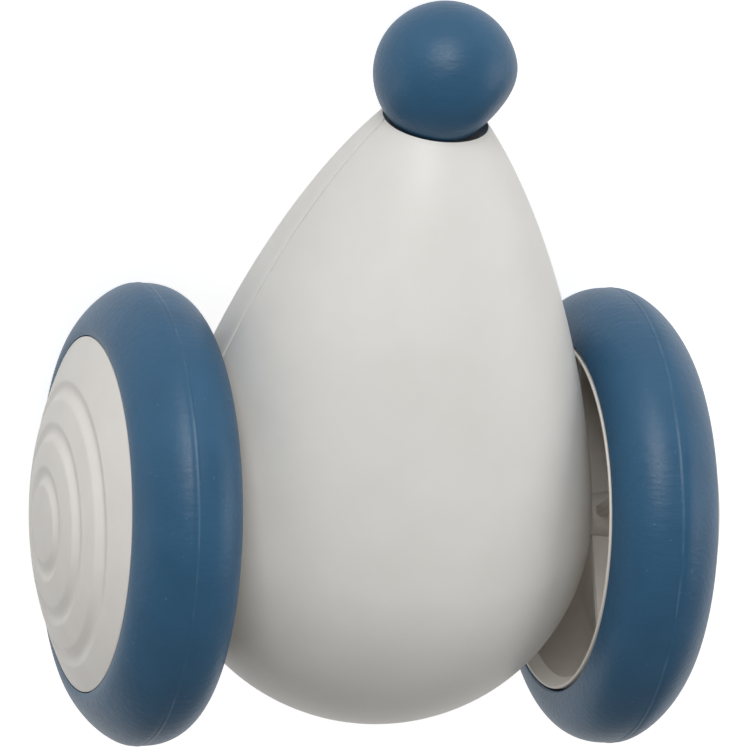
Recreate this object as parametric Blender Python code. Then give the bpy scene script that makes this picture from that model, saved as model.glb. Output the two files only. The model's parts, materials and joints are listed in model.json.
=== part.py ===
"""Robotic mouse cat toy: an egg-shaped body between two large wheels, with a ball for a nose.

Lengths are in metres. The pieces are laid out in the body's own frame, whose origin is the middle of the
wheel axles: X along the axles, Y along the egg towards the nose, Z towards the upper shell. One empty then
tips the whole toy nose-down, until it stands on both tyres and on the nose ball, with the floor at zero.
"""

import math

import bmesh
import bpy
import numpy as np
from mathutils import Matrix

# General fits
GAP = 0.0003  # between pieces that touch on the real toy
RUNNING_GAP = 0.0004  # beside a turning piece
OVERRUN = 0.0020  # how far a cutter passes the faces that it cuts
MERGE = 0.0000005

# Egg-shaped body: half an ellipse behind its widest place, one curve in front of it
EGG_RADIUS = 0.0279
EGG_WIDEST_Y = 0.0009
EGG_REAR_LENGTH = 0.0276
EGG_FRONT_LENGTH = 0.0549
EGG_RIM_RADIUS = 0.0068
EGG_SIDE_HANDLE = 0.0089
EGG_NOSE_HANDLE_BACK = 0.0163
EGG_NOSE_HANDLE_OUT = 0.0131
EGG_WALL = 0.0018
EGG_SIDES = 32
EGG_REAR_STEPS = 5
EGG_FRONT_STEPS = 8
CAVITY_SIDES = 24
CAVITY_REAR_STEPS = 4
CAVITY_FRONT_STEPS = 6
AXLE_HOLE_RADIUS = 0.0021

# Nose ball and the stem that the two shells hold
NOSE_RADIUS = 0.0091
NOSE_Y = 0.0623
NOSE_SEAT_GAP = 0.0004
NOSE_SIDES = 24
STEM_RADIUS = 0.0030
STEM_DEPTH_IN_BALL = 0.0045
STEM_TAIL = 0.0015
FLANGE_RADIUS = 0.0065
FLANGE_THICKNESS = 0.0020
FLANGE_BEHIND_BALL = 0.0055
HOLDER_THICKNESS = 0.0015
COLLAR_THICKNESS = 0.0015

# Wheels, measured outwards from the hub's inner end
WHEEL_RADIUS = 0.0295
WHEEL_SIDES = 36
RIM_SIDES = 28
HUB_RUNNING_GAP = 0.0007
TYRE_PLANE_FROM_HUB = 0.00315
TYRE_DEPTH = 0.0076
TREAD_LAND_HALF = 0.0006
TYRE_OUTER_HALF = 0.00715
TYRE_INNER_HALF = 0.0073
TYRE_OUTER_RISE = 0.0071
TYRE_INNER_RISE = 0.0071
TYRE_OUTER_POWER = 1.52
TYRE_INNER_POWER = 2.2
TYRE_OUTER_ARC_DEG = 78
TYRE_INNER_ARC_DEG = 80
TYRE_STEPS = 5

RIM_LIP_FROM_PLANE = 0.0063
RIM_RADIUS = WHEEL_RADIUS - TYRE_DEPTH
RIM_LIP_THICKNESS = 0.0007
RIM_BARREL_THICKNESS = 0.0016
RIM_END_FROM_PLANE = 0.00535
DISC_THICKNESS = 0.0014
DISC_INSET = 0.0015
HUB_RADIUS = 0.0050
HUB_ROOT_RADIUS = 0.0056
HUB_LENGTH = 0.0076
RIB_COUNT = 4
RIB_THICKNESS = 0.0012
RIB_HUB_INSET = 0.0006
RIB_LIP_INSET = 0.0044
RIB_TURN_DEG = 140

CAP_OVERLAP = 0.00075
CAP_RADIUS = RIM_RADIUS + CAP_OVERLAP
CAP_EDGE_THICKNESS = 0.0008
CAP_WALL = 0.0015
CAP_RISE = 0.0063
CAP_POWER = 2.0
CAP_PLUG_THICKNESS = 0.0010
CAP_PLUG_DEPTH = 0.0011
CAP_GROOVE_SHARES = (0.751, 0.519, 0.272)
CAP_GROOVE_DEPTH = 0.0004
CAP_GROOVE_HALF = 0.0013
RING_DRIFT_Y = -0.0011
RING_DRIFT_Z = 0.0006

# Axle and the screw in its end
AXLE_RADIUS = 0.0015
AXLE_INNER_END_PAST_WALL = 0.0010
AXLE_SIDES = 14
WHEEL_SCREW_HEAD_RADIUS = 0.0026
WHEEL_SCREW_HEAD_HEIGHT = 0.0011
WHEEL_SCREW_RADIUS = 0.0006
WHEEL_SCREW_LENGTH = 0.0050

# Gears, from the shell inwards
GEAR_MODULE = 0.0005
AXLE_GEAR_TEETH = 24
COMPOUND_SMALL_TEETH = 10
COMPOUND_LARGE_TEETH = 24
PINION_TEETH = 10
CENTRE_SPREAD = 0.00012
ADDENDUM_SHARE = 0.82
DEDENDUM_SHARE = 1.25
TIP_WIDTH_SHARE = 0.22
ROOT_WIDTH_SHARE = 0.52
GEAR_PLATE_FROM_CAVITY = 0.0028
GEAR_PLATE_THICKNESS = 0.0010
GEAR_PLATE_RADIUS = 0.0062
GEAR_PLATE_PIN_RADIUS = 0.0034
GEAR_PLATE_BOSS_RADIUS = 0.0032
GEAR_PLATE_BOSS_HEIGHT = 0.0008
PILL_SIDES = 12
AXLE_GEAR_WIDTH = 0.0022
COMPOUND_SMALL_WIDTH = 0.0026
COMPOUND_LARGE_WIDTH = 0.0020
PIN_RADIUS = 0.00075
PINION_WIDTH = 0.0024
MOTOR_SHAFT_RADIUS = 0.0005
MOTOR_SHAFT_IN_CAN = 0.0020

# Motor cans
MOTOR_BACK_X = 0.0016
MOTOR_RADIUS = 0.0060
MOTOR_FLAT_HALF = 0.0050
MOTOR_NOSE_RADIUS = 0.0022
MOTOR_NOSE_LENGTH = 0.0009
MOTOR_SIDES = 20

# Chassis
CHASSIS_WALL = 0.0012
CHASSIS_FLOOR = 0.0012
CHASSIS_REAR_MARGIN = 0.0026
CHASSIS_FRONT_MARGIN = 0.0025
WALL_TOP_Z = 0.0066
WALL_END_INSET = 0.0006
COLUMN_RADIUS = 0.0016
COLUMN_REAR_MARGIN = 0.0008
COLUMN_REAR_Z = -0.0020
COLUMN_TOP_Z = 0.0090
CRADLE_LENGTH = 0.0080
CRADLE_WIDTH_SHARE = 0.58
LEAD_SLOT_WIDTH = 0.0090
LEAD_SLOT_LENGTH = 0.0050
LEAD_SLOT_Y = 0.0028
BUSH_WALL = 0.0010
BUSH_FLANGE = 0.0008

# Small screws
SCREW_RADIUS = 0.0007
SCREW_HEAD_RADIUS = 0.0013
SCREW_HEAD_HEIGHT = 0.0007
SCREW_SIDES = 10
PLATE_SCREW_LENGTH = 0.0040
BOARD_SCREW_LENGTH = 0.0045

# Battery and its strap
BATTERY_SIDE_ROOM = 0.0024
BATTERY_LENGTH = 0.0300
BATTERY_THICKNESS = 0.0056
BATTERY_REAR_Y = -0.0030
BATTERY_EDGE = 0.0014
STRAP_THICKNESS = 0.0009
STRAP_WIDTH = 0.0080
STRAP_FOOT = 0.0026

# Circuit board and what it carries
BOARD_BELOW_CHASSIS = 0.0018
BOARD_THICKNESS = 0.0012
BOARD_HALF_WIDTH = 0.0115
BOARD_TONGUE_HALF_WIDTH = 0.0060
BOARD_TONGUE_LENGTH = 0.0068
BOARD_REAR_ROOM = 0.0006
BOARD_FRONT_Y = 0.0062
BOARD_SCREW_X = 0.0088
BOARD_SCREW_Y = 0.0028
CHIP_SIZE = 0.0060
CHIP_HEIGHT = 0.0011
CHIP_Y = -0.0052
SOCKET_WIDTH = 0.0090
SOCKET_HEIGHT = 0.0032
SOCKET_LENGTH = 0.0074
SOCKET_WALL = 0.0004
SOCKET_DEPTH = 0.0060
SOCKET_TONGUE_WIDTH = 0.0066
SOCKET_TONGUE_THICKNESS = 0.0007
SOCKET_TONGUE_INSET = 0.0008
SOCKET_RECESS = 0.0006
SOCKET_CORNER_STEPS = 5
SWITCH_SIZE = 0.0060
SWITCH_HEIGHT = 0.0034
SWITCH_PLUNGER_RADIUS = 0.0017
SWITCH_PLUNGER_HEIGHT = 0.0007
LIGHT_RADIUS = 0.0015
LIGHT_HEIGHT = 0.0034
LIGHT_X = 0.0068
LIGHT_FROM_BOARD_REAR = 0.0123
LENS_RADIUS = 0.0012
LENS_INSET = 0.0002

# Power button on the belly
BUTTON_RADIUS = 0.0035
BUTTON_FLANGE_RADIUS = 0.0048
BUTTON_FLANGE = 0.0010
BUTTON_STEM_RADIUS = 0.0016
BUTTON_TRAVEL = 0.0008
BUTTON_INSET = 0.0004
BUTTON_DISH = 0.0003
BUTTON_SEAT_RISE = 0.0005

# Posts that join the shells and carry the chassis and the board
POST_RADIUS = 0.0026
POST_REAR_X = 0.0150
POST_FROM_CHASSIS = 0.0006
POST_FRONT_X = 0.0090
POST_FRONT_Y = 0.0330
SHELL_SCREW_RADIUS = 0.0008
SHELL_SCREW_HEAD_RADIUS = 0.0017
SHELL_SCREW_HEAD_HEIGHT = 0.0012
SHELL_SCREW_SEAT_Z = -0.0050
SHELL_SCREW_LENGTH = 0.0100
BOARD_POST_RADIUS = 0.0020
REST_POST_RADIUS = 0.0014
REST_REAR_X = 0.0138
REST_EDGE = 0.0004
REST_FRONT_FROM_WALL = 0.0046
REST_FROM_END = 0.0026

# Leads
LEAD_RADIUS = 0.00045
LEAD_PAIR_SPREAD = 0.0022
BATTERY_LEAD_LOOP = 0.0022

# The toy's lean, from its wheels and its nose ball standing on one floor
PITCH = math.asin((WHEEL_RADIUS - NOSE_RADIUS) / NOSE_Y)
AXLE_Y = (WHEEL_RADIUS - NOSE_Y * math.cos(PITCH) - NOSE_RADIUS) / 2

# Places of the gears and of the pieces that they set
COMPOUND_Y = GEAR_MODULE * (AXLE_GEAR_TEETH + COMPOUND_SMALL_TEETH) / 2 + CENTRE_SPREAD
PINION_Y = COMPOUND_Y + GEAR_MODULE * (COMPOUND_LARGE_TEETH + PINION_TEETH) / 2 + CENTRE_SPREAD
LARGE_TIP_RADIUS = GEAR_MODULE * (COMPOUND_LARGE_TEETH / 2 + 1)
AXLE_TIP_RADIUS = GEAR_MODULE * (AXLE_GEAR_TEETH / 2 + 1)
FLOOR_Z = -(LARGE_TIP_RADIUS + RUNNING_GAP)
COLUMN_REAR_Y = -(AXLE_TIP_RADIUS + COLUMN_RADIUS + COLUMN_REAR_MARGIN)
COLUMNS = ((COLUMN_REAR_Y, COLUMN_REAR_Z), (COMPOUND_Y / 2, COLUMN_TOP_Z))
CHASSIS_REAR_Y = COLUMN_REAR_Y - CHASSIS_REAR_MARGIN
CHASSIS_FRONT_Y = PINION_Y + MOTOR_RADIUS + CHASSIS_FRONT_MARGIN
COLUMN_SHARE = (COLUMN_REAR_Y - EGG_WIDEST_Y) / EGG_REAR_LENGTH
CAVITY_AT_COLUMN = EGG_RADIUS * math.sqrt(1 - COLUMN_SHARE**2) - EGG_WALL

# Places along X that follow from the sizes above, on the right-hand side
HUB_X = EGG_RADIUS + HUB_RUNNING_GAP
TYRE_X = HUB_X + TYRE_PLANE_FROM_HUB
RIM_LIP_X = TYRE_X - RIM_LIP_FROM_PLANE
RIM_END_X = TYRE_X + RIM_END_FROM_PLANE
CAP_X = RIM_END_X + GAP
CAP_GROOVES = tuple(share * CAP_RADIUS for share in CAP_GROOVE_SHARES)
GEAR_PLATE_X = CAVITY_AT_COLUMN - GEAR_PLATE_FROM_CAVITY
GEARS_X = GEAR_PLATE_X - GEAR_PLATE_THICKNESS - RUNNING_GAP
LARGE_GEAR_X = GEARS_X - COMPOUND_SMALL_WIDTH
WALL_X = LARGE_GEAR_X - COMPOUND_LARGE_WIDTH - RUNNING_GAP
MOTOR_X = WALL_X - CHASSIS_WALL - GAP
MOTOR_LENGTH = MOTOR_X - MOTOR_BACK_X

# Heights that follow, and places of the posts
BOARD_TOP_Z = FLOOR_Z - CHASSIS_FLOOR - BOARD_BELOW_CHASSIS
BOARD_LOW_Z = BOARD_TOP_Z - BOARD_THICKNESS
SOCKET_Z = BOARD_TOP_Z + GAP + SOCKET_HEIGHT / 2
BATTERY_Z = MOTOR_FLAT_HALF + GAP
BATTERY_WIDTH = 2 * (WALL_X - CHASSIS_WALL - BATTERY_SIDE_ROOM)
CHASSIS_HALF_WIDTH = max(WALL_X - CHASSIS_WALL / 2, REST_REAR_X + REST_EDGE)
BUTTON_FACE_Z = -(EGG_RADIUS - BUTTON_INSET)
BUTTON_SEAT_Z = -(EGG_RADIUS - EGG_WALL - BUTTON_SEAT_RISE)
POST_REAR_Y = CHASSIS_REAR_Y - POST_RADIUS - POST_FROM_CHASSIS
POSTS = (
    (-POST_REAR_X, POST_REAR_Y),
    (POST_REAR_X, POST_REAR_Y),
    (-POST_FRONT_X, POST_FRONT_Y),
    (POST_FRONT_X, POST_FRONT_Y),
)
REST_REAR_Y = CHASSIS_REAR_Y + REST_FROM_END
REST_FRONT_X = WALL_X - REST_FRONT_FROM_WALL
REST_FRONT_Y = CHASSIS_FRONT_Y - REST_FROM_END
SIDES = (("left", -1), ("right", 1))


# Materials

def srgb(red, green, blue):
    """The linear colour of three sRGB shares."""
    shares = (red, green, blue)
    return tuple(c / 12.92 if c <= 0.04045 else ((c + 0.055) / 1.055) ** 2.4 for c in shares) + (1.0,)


def finish(name, colour, roughness, metallic=0.0):
    material = bpy.data.materials.new(name)
    material.use_nodes = True
    shader = material.node_tree.nodes["Principled BSDF"]
    shader.inputs["Base Color"].default_value = srgb(*colour)
    shader.inputs["Roughness"].default_value = roughness
    shader.inputs["Metallic"].default_value = metallic
    return material


# Mesh helpers

def piece(name, bm, material, parent, smooth=True):
    """Makes one named object of a bmesh, its faces turned outwards."""
    bmesh.ops.remove_doubles(bm, verts=bm.verts, dist=MERGE)
    bmesh.ops.recalc_face_normals(bm, faces=bm.faces)
    mesh = bpy.data.meshes.new(name)
    bm.to_mesh(mesh)
    bm.free()
    if smooth:
        mesh.shade_smooth()
        mesh.set_sharp_from_angle(angle=math.radians(32))
    mesh.materials.append(material)
    thing = bpy.data.objects.new(name, mesh)
    bpy.context.scene.collection.objects.link(thing)
    thing.parent = parent
    return thing


def turned_mesh(profile, sides, start=0.0):
    """A closed outline of (along, radius) points, turned about Z. Points on the axis become poles."""
    bm = bmesh.new()
    rings = []
    for along, radius in profile:
        if radius < MERGE:
            rings.append([bm.verts.new((0, 0, along))])
            continue
        turns = [start + 2 * math.pi * i / sides for i in range(sides)]
        rings.append([bm.verts.new((radius * math.cos(a), radius * math.sin(a), along)) for a in turns])
    for ring, following in zip(rings, rings[1:] + rings[:1]):
        for i in range(sides):
            corners = [ring[i % len(ring)], ring[(i + 1) % len(ring)]]
            corners += [following[(i + 1) % len(following)], following[i % len(following)]]
            corners = list(dict.fromkeys(corners))
            if len(corners) > 2:
                bm.faces.new(corners)
    return bm


def prism_mesh(outline, low, high):
    """An outline of (u, v) points, drawn out along Z from low to high."""
    bm = bmesh.new()
    face = bm.faces.new([bm.verts.new((u, v, low)) for u, v in outline])
    grown = bmesh.ops.extrude_face_region(bm, geom=[face])
    verts = [part for part in grown["geom"] if isinstance(part, bmesh.types.BMVert)]
    bmesh.ops.translate(bm, verts=verts, vec=(0, 0, high - low))
    return bm


def block_mesh(low, high):
    """A box between two corners."""
    bm = bmesh.new()
    bmesh.ops.create_cube(bm, size=1)
    for vert in bm.verts:
        vert.co = [a if share < 0 else b for share, a, b in zip(vert.co, low, high)]
    return bm


def along_x(bm, side=1):
    """Turns a mesh that was made about Z to lie about X, with its outline's u and v along Y and Z."""
    place = Matrix(((0, 0, side, 0), (1, 0, 0, 0), (0, 1, 0, 0), (0, 0, 0, 1)))
    bmesh.ops.transform(bm, matrix=place, verts=bm.verts)
    return bm


def along_y(bm):
    """Turns a mesh that was made about Z to lie about Y."""
    place = Matrix(((1, 0, 0, 0), (0, 0, 1, 0), (0, 1, 0, 0), (0, 0, 0, 1)))
    bmesh.ops.transform(bm, matrix=place, verts=bm.verts)
    return bm


def moved(bm, x=0.0, y=0.0, z=0.0):
    bmesh.ops.translate(bm, verts=bm.verts, vec=(x, y, z))
    return bm


def drum_mesh(radius, low, high, sides=SCREW_SIDES):
    """A plain cylinder about Z."""
    return turned_mesh([(low, 0), (low, radius), (high, radius), (high, 0)], sides)


def tool(name, bm, parent):
    """A hidden helper that only cuts or joins."""
    helper = piece(name, bm, finishes["tool"], parent, smooth=False)
    helper.hide_render = True
    helper.display_type = "WIRE"
    return helper


def combine(thing, helper, operation="DIFFERENCE"):
    modifier = thing.modifiers.new(helper.name, "BOOLEAN")
    modifier.operation = operation
    modifier.solver = "EXACT"
    modifier.object = helper


def axis_empty(name, parent, place=(0, 0, 0)):
    """A joint's axis: what turns or slides on it is its child."""
    empty = bpy.data.objects.new(name, None)
    bpy.context.scene.collection.objects.link(empty)
    empty.parent = parent
    empty.location = place
    return empty


# The egg's outline, as (y, radius) points

def egg_outline(inset=0.0, rear_steps=EGG_REAR_STEPS, front_steps=EGG_FRONT_STEPS):
    """From the rear pole to the nose opening, drawn in by inset."""
    points = []
    for i in range(rear_steps):
        turn = math.pi / 2 * i / rear_steps
        y = EGG_WIDEST_Y - (EGG_REAR_LENGTH - inset) * math.cos(turn)
        points.append((y, (EGG_RADIUS - inset) * math.sin(turn)))
    front_y = EGG_WIDEST_Y + EGG_FRONT_LENGTH
    ends = (
        (EGG_WIDEST_Y, EGG_RADIUS - inset),
        (EGG_WIDEST_Y + EGG_SIDE_HANDLE, EGG_RADIUS - inset),
        (front_y - EGG_NOSE_HANDLE_BACK, EGG_RIM_RADIUS + EGG_NOSE_HANDLE_OUT - inset),
        (front_y, EGG_RIM_RADIUS - inset),
    )
    for i in range(front_steps + 1):
        t = i / front_steps
        weights = ((1 - t) ** 3, 3 * t * (1 - t) ** 2, 3 * t * t * (1 - t), t**3)
        points.append(tuple(sum(w * end[k] for w, end in zip(weights, ends)) for k in (0, 1)))
    return points


def egg_radius_at(y, inset=0.0):
    """The egg's radius at a place along it."""
    outline = egg_outline(inset, 4 * EGG_REAR_STEPS, 4 * EGG_FRONT_STEPS)
    return float(np.interp(y, [p[0] for p in outline], [p[1] for p in outline]))


def rear_y_at(radius, inset=0.0):
    """Where the rear half of the egg has this radius."""
    return EGG_WIDEST_Y - (EGG_REAR_LENGTH - inset) * math.sqrt(1 - (radius / (EGG_RADIUS - inset)) ** 2)


BOARD_REAR_Y = rear_y_at(math.hypot(BOARD_TONGUE_HALF_WIDTH, BOARD_LOW_Z), EGG_WALL) + BOARD_REAR_ROOM
BOARD_SHOULDER_Y = BOARD_REAR_Y + BOARD_TONGUE_LENGTH
LIGHT_Y = BOARD_REAR_Y + LIGHT_FROM_BOARD_REAR


def seat_y_at(radius):
    """Where the round seat of the nose ball has this radius."""
    return NOSE_Y - math.sqrt((NOSE_RADIUS + NOSE_SEAT_GAP) ** 2 - radius**2)


FLANGE_Y = NOSE_Y - NOSE_RADIUS - FLANGE_BEHIND_BALL
STEM_HOLE_RADIUS = STEM_RADIUS + GAP


def cavity_outline():
    """The hollow of the egg, with the rings that hold the stem's flange and the collar behind the ball."""
    points = egg_outline(EGG_WALL, CAVITY_REAR_STEPS, CAVITY_FRONT_STEPS)
    ring_edges = []
    for low, high in (
        (FLANGE_Y - GAP - HOLDER_THICKNESS, FLANGE_Y - GAP),
        (FLANGE_Y + FLANGE_THICKNESS + GAP, FLANGE_Y + FLANGE_THICKNESS + GAP + HOLDER_THICKNESS),
    ):
        ring_edges += [(low, egg_radius_at(low, EGG_WALL)), (low, STEM_HOLE_RADIUS)]
        ring_edges += [(high, STEM_HOLE_RADIUS), (high, egg_radius_at(high, EGG_WALL))]
    collar_y = seat_y_at(STEM_HOLE_RADIUS) - COLLAR_THICKNESS
    kept = [p for p in points if p[0] < ring_edges[0][0] - OVERRUN / 2]
    collar = [(collar_y, egg_radius_at(collar_y, EGG_WALL)), (collar_y, STEM_HOLE_RADIUS)]
    return kept + ring_edges + collar + [(NOSE_Y, STEM_HOLE_RADIUS), (NOSE_Y, 0)]


# Shells

def egg_tool(name, parent):
    """What hollows a shell: the cavity less the posts that stand in it."""
    return tool(name, along_y(turned_mesh(cavity_outline(), CAVITY_SIDES, math.pi / CAVITY_SIDES)), parent)


def shell_blank(name, side_of_seam, parent):
    outline = egg_outline() + [(EGG_WIDEST_Y + EGG_FRONT_LENGTH, 0)]
    egg = along_y(turned_mesh(outline, EGG_SIDES, math.pi / EGG_SIDES))
    shell = piece(name, egg, finishes["shell"], parent)
    reach = 2 * (EGG_FRONT_LENGTH + EGG_RADIUS)
    low, high = (-reach, GAP / 2) if side_of_seam > 0 else (-GAP / 2, reach)
    combine(shell, tool(f"{name}_half", block_mesh((-reach, -reach, low), (reach, reach, high)), parent))
    return shell


def bored(shell, name, radius, low, high, place, parent, sides=SCREW_SIDES):
    """Cuts an upright hole."""
    combine(shell, tool(name, moved(drum_mesh(radius, low, high, sides), *place), parent))


def shared_cuts(shell, name, parent):
    """The axle holes and the nose ball's seat, which both shells share along their seam."""
    reach = EGG_RADIUS + OVERRUN
    axle_holes = along_x(drum_mesh(AXLE_HOLE_RADIUS, -reach, reach, AXLE_SIDES))
    combine(shell, tool(f"{name}_axle_holes", axle_holes, parent))
    radius = NOSE_RADIUS + NOSE_SEAT_GAP
    arc = [math.pi * i / NOSE_SIDES for i in range(NOSE_SIDES + 1)]
    ball = [(NOSE_Y - radius * math.cos(a), radius * math.sin(a)) for a in arc]
    combine(shell, tool(f"{name}_nose_seat", along_y(turned_mesh(ball, NOSE_SIDES)), parent))


def post(cavity, name, radius, low, high, x, y, parent):
    """Leaves a post standing in the hollow."""
    combine(cavity, tool(name, moved(drum_mesh(radius, low, high), x, y), parent))


def top_shell(parent):
    shell = shell_blank("top_shell", 1, parent)
    cavity = egg_tool("top_cavity", parent)
    reach = EGG_RADIUS + OVERRUN
    for i, (x, y) in enumerate(POSTS):
        post(cavity, f"top_post_{i + 1}", POST_RADIUS, -OVERRUN, reach, x, y, parent)
    combine(shell, cavity)
    shared_cuts(shell, "top", parent)
    hole_end = SHELL_SCREW_SEAT_Z + SHELL_SCREW_LENGTH + GAP
    for i, (x, y) in enumerate(POSTS):
        bored(shell, f"top_pilot_{i + 1}", SHELL_SCREW_RADIUS + GAP, -OVERRUN, hole_end, (x, y), parent)


def bottom_shell(parent):
    shell = shell_blank("bottom_shell", -1, parent)
    cavity = egg_tool("bottom_cavity", parent)
    reach = EGG_RADIUS + OVERRUN
    for i, (x, y) in enumerate(POSTS):
        post(cavity, f"bottom_post_{i + 1}", POST_RADIUS, -reach, OVERRUN, x, y, parent)
    rest_z = FLOOR_Z - CHASSIS_FLOOR - GAP
    for name, side in SIDES:
        for end, x, y in (("rear", REST_REAR_X, REST_REAR_Y), ("front", REST_FRONT_X, REST_FRONT_Y)):
            post(cavity, f"{name}_{end}_rest", REST_POST_RADIUS, -reach, rest_z, side * x, y, parent)
        place = (side * BOARD_SCREW_X, BOARD_SCREW_Y)
        post(cavity, f"{name}_board_post", BOARD_POST_RADIUS, -reach, BOARD_LOW_Z - GAP, *place, parent)
    combine(shell, cavity)
    shared_cuts(shell, "bottom", parent)
    head_hole = SHELL_SCREW_HEAD_RADIUS + GAP
    for i, (x, y) in enumerate(POSTS):
        bored(shell, f"head_hole_{i + 1}", head_hole, -reach, SHELL_SCREW_SEAT_Z - GAP, (x, y), parent)
        bored(shell, f"screw_hole_{i + 1}", SHELL_SCREW_RADIUS + GAP, -reach, OVERRUN, (x, y), parent)
    for name, side in SIDES:
        place = (side * BOARD_SCREW_X, BOARD_SCREW_Y)
        low = BOARD_TOP_Z - BOARD_SCREW_LENGTH - GAP
        bored(shell, f"{name}_board_pilot", SCREW_RADIUS + GAP, low, BOARD_TOP_Z, place, parent)
    wall_top = -EGG_RADIUS / 2
    place = (0, EGG_WIDEST_Y)
    seat_radius = BUTTON_FLANGE_RADIUS + GAP
    bored(shell, "button_hole", BUTTON_RADIUS + GAP, -reach, wall_top, place, parent, AXLE_SIDES)
    bored(shell, "button_seat", seat_radius, BUTTON_SEAT_Z, wall_top, place, parent, AXLE_SIDES)
    bored(shell, "lens_hole", LENS_RADIUS + GAP, -reach, wall_top, (LIGHT_X, LIGHT_Y), parent)
    outline = stadium(SOCKET_WIDTH + 2 * GAP, SOCKET_HEIGHT + 2 * GAP)
    rear = EGG_WIDEST_Y - EGG_REAR_LENGTH
    opening = moved(along_y(prism_mesh(outline, rear - OVERRUN, rear / 2)), z=SOCKET_Z)
    combine(shell, tool("socket_opening", opening, parent))


# Nose

def nose(parent):
    back = -math.acos((STEM_RADIUS + GAP) / NOSE_RADIUS)
    arc = list(np.linspace(back, PITCH, 7)) + list(np.linspace(PITCH, math.pi / 2 - PITCH, 4))[1:]
    arc += list(np.linspace(math.pi / 2 - PITCH, math.pi / 2, 3))[1:]
    outline = [(NOSE_Y + NOSE_RADIUS * math.sin(a), NOSE_RADIUS * math.cos(a)) for a in arc]
    bore_end = NOSE_Y - NOSE_RADIUS + STEM_DEPTH_IN_BALL + GAP
    outline = [(bore_end, 0), (bore_end, STEM_RADIUS + GAP)] + outline
    piece("nose_ball", along_y(turned_mesh(outline, NOSE_SIDES)), finishes["tyre"], parent)
    tail_y = FLANGE_Y - STEM_TAIL
    flange_end = FLANGE_Y + FLANGE_THICKNESS
    stem = [
        (tail_y, 0),
        (tail_y, STEM_RADIUS),
        (FLANGE_Y, STEM_RADIUS),
        (FLANGE_Y, FLANGE_RADIUS),
        (flange_end, FLANGE_RADIUS),
        (flange_end, STEM_RADIUS),
        (bore_end - GAP, STEM_RADIUS),
        (bore_end - GAP, 0),
    ]
    piece("nose_stem", along_y(turned_mesh(stem, AXLE_SIDES)), finishes["inner"], parent)


# Wheels

def tyre_outline():
    """The tyre's section as (x, radius) points, with flat facets touching the floor along the tread."""
    spread = 1 / math.cos(math.pi / WHEEL_SIDES)
    points = []
    for half, rise, power, arc, way in (
        (TYRE_OUTER_HALF, TYRE_OUTER_RISE, TYRE_OUTER_POWER, TYRE_OUTER_ARC_DEG, 1),
        (TYRE_INNER_HALF, TYRE_INNER_RISE, TYRE_INNER_POWER, TYRE_INNER_ARC_DEG, -1),
    ):
        side_points = []
        for i in range(TYRE_STEPS + 1):
            t = math.radians(arc) * i / TYRE_STEPS
            x = TREAD_LAND_HALF + (half - TREAD_LAND_HALF) * math.sin(t) ** (2 / power)
            radius = WHEEL_RADIUS - rise * (1 - math.cos(t) ** (2 / power))
            side_points.append((TYRE_X + way * x, radius * spread))
        points.append(side_points)
    outer, inner = points
    bore = (RIM_RADIUS + GAP) * spread
    cap_bore = (CAP_RADIUS + GAP) * spread
    cap_seat_end = CAP_X + CAP_EDGE_THICKNESS - GAP
    seat = [(RIM_LIP_X - GAP, bore), (CAP_X, bore), (CAP_X, cap_bore), (cap_seat_end, cap_bore)]
    return inner[::-1] + outer + seat[::-1]


def rim_outline():
    barrel = RIM_RADIUS - RIM_BARREL_THICKNESS
    disc_out = RIM_END_X - DISC_INSET
    disc_in = disc_out - DISC_THICKNESS
    bore = AXLE_RADIUS + GAP
    hub_end = HUB_X + HUB_LENGTH
    return [
        (HUB_X, bore),
        (HUB_X, HUB_RADIUS),
        (disc_in, HUB_ROOT_RADIUS),
        (disc_in, barrel - RIM_LIP_THICKNESS),
        (disc_in - DISC_THICKNESS, barrel),
        (RIM_LIP_X, RIM_RADIUS - RIM_LIP_THICKNESS),
        (RIM_LIP_X, RIM_RADIUS),
        (RIM_END_X, RIM_RADIUS),
        (RIM_END_X, barrel),
        (disc_out, barrel),
        (disc_out, HUB_ROOT_RADIUS),
        (hub_end, HUB_RADIUS),
        (hub_end, bore),
    ]


def rim(name, side, parent):
    turned = along_x(turned_mesh(rim_outline(), RIM_SIDES), side)
    wheel = piece(f"{name}_rim", turned, finishes["rim"], parent)
    floor = RIM_END_X - DISC_INSET - DISC_THICKNESS / 2
    inner = HUB_RADIUS - RIB_THICKNESS
    outer = RIM_RADIUS - RIM_LIP_THICKNESS
    slope = [
        (inner, HUB_X + RIB_HUB_INSET),
        (HUB_RADIUS, HUB_X + RIB_HUB_INSET),
        (outer, RIM_LIP_X + RIB_LIP_INSET),
        (outer, floor),
        (inner, floor),
    ]
    for i in range(RIB_COUNT):
        rib = prism_mesh(slope, -RIB_THICKNESS / 2, RIB_THICKNESS / 2)
        stand = Matrix(((0, side, 0, 0), (1, 0, 0, 0), (0, 0, 1, 0), (0, 0, 0, 1)))
        turn = Matrix.Rotation(math.radians(RIB_TURN_DEG) + 2 * math.pi * i / RIB_COUNT, 4, "X")
        bmesh.ops.transform(rib, matrix=turn @ stand, verts=rib.verts)
        combine(wheel, tool(f"{name}_rib_{i + 1}", rib, parent), "UNION")


def cap_dome(radius):
    return CAP_RISE * (1 - (radius / CAP_RADIUS) ** CAP_POWER)


def cap_face(radius):
    """The hubcap's outer face: a low dome with three soft rings pressed into it."""
    x = cap_dome(radius)
    for ring in CAP_GROOVES:
        x -= CAP_GROOVE_DEPTH * max(0.0, 1 - abs(radius - ring) / CAP_GROOVE_HALF)
    return CAP_X + CAP_EDGE_THICKNESS + x


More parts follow.
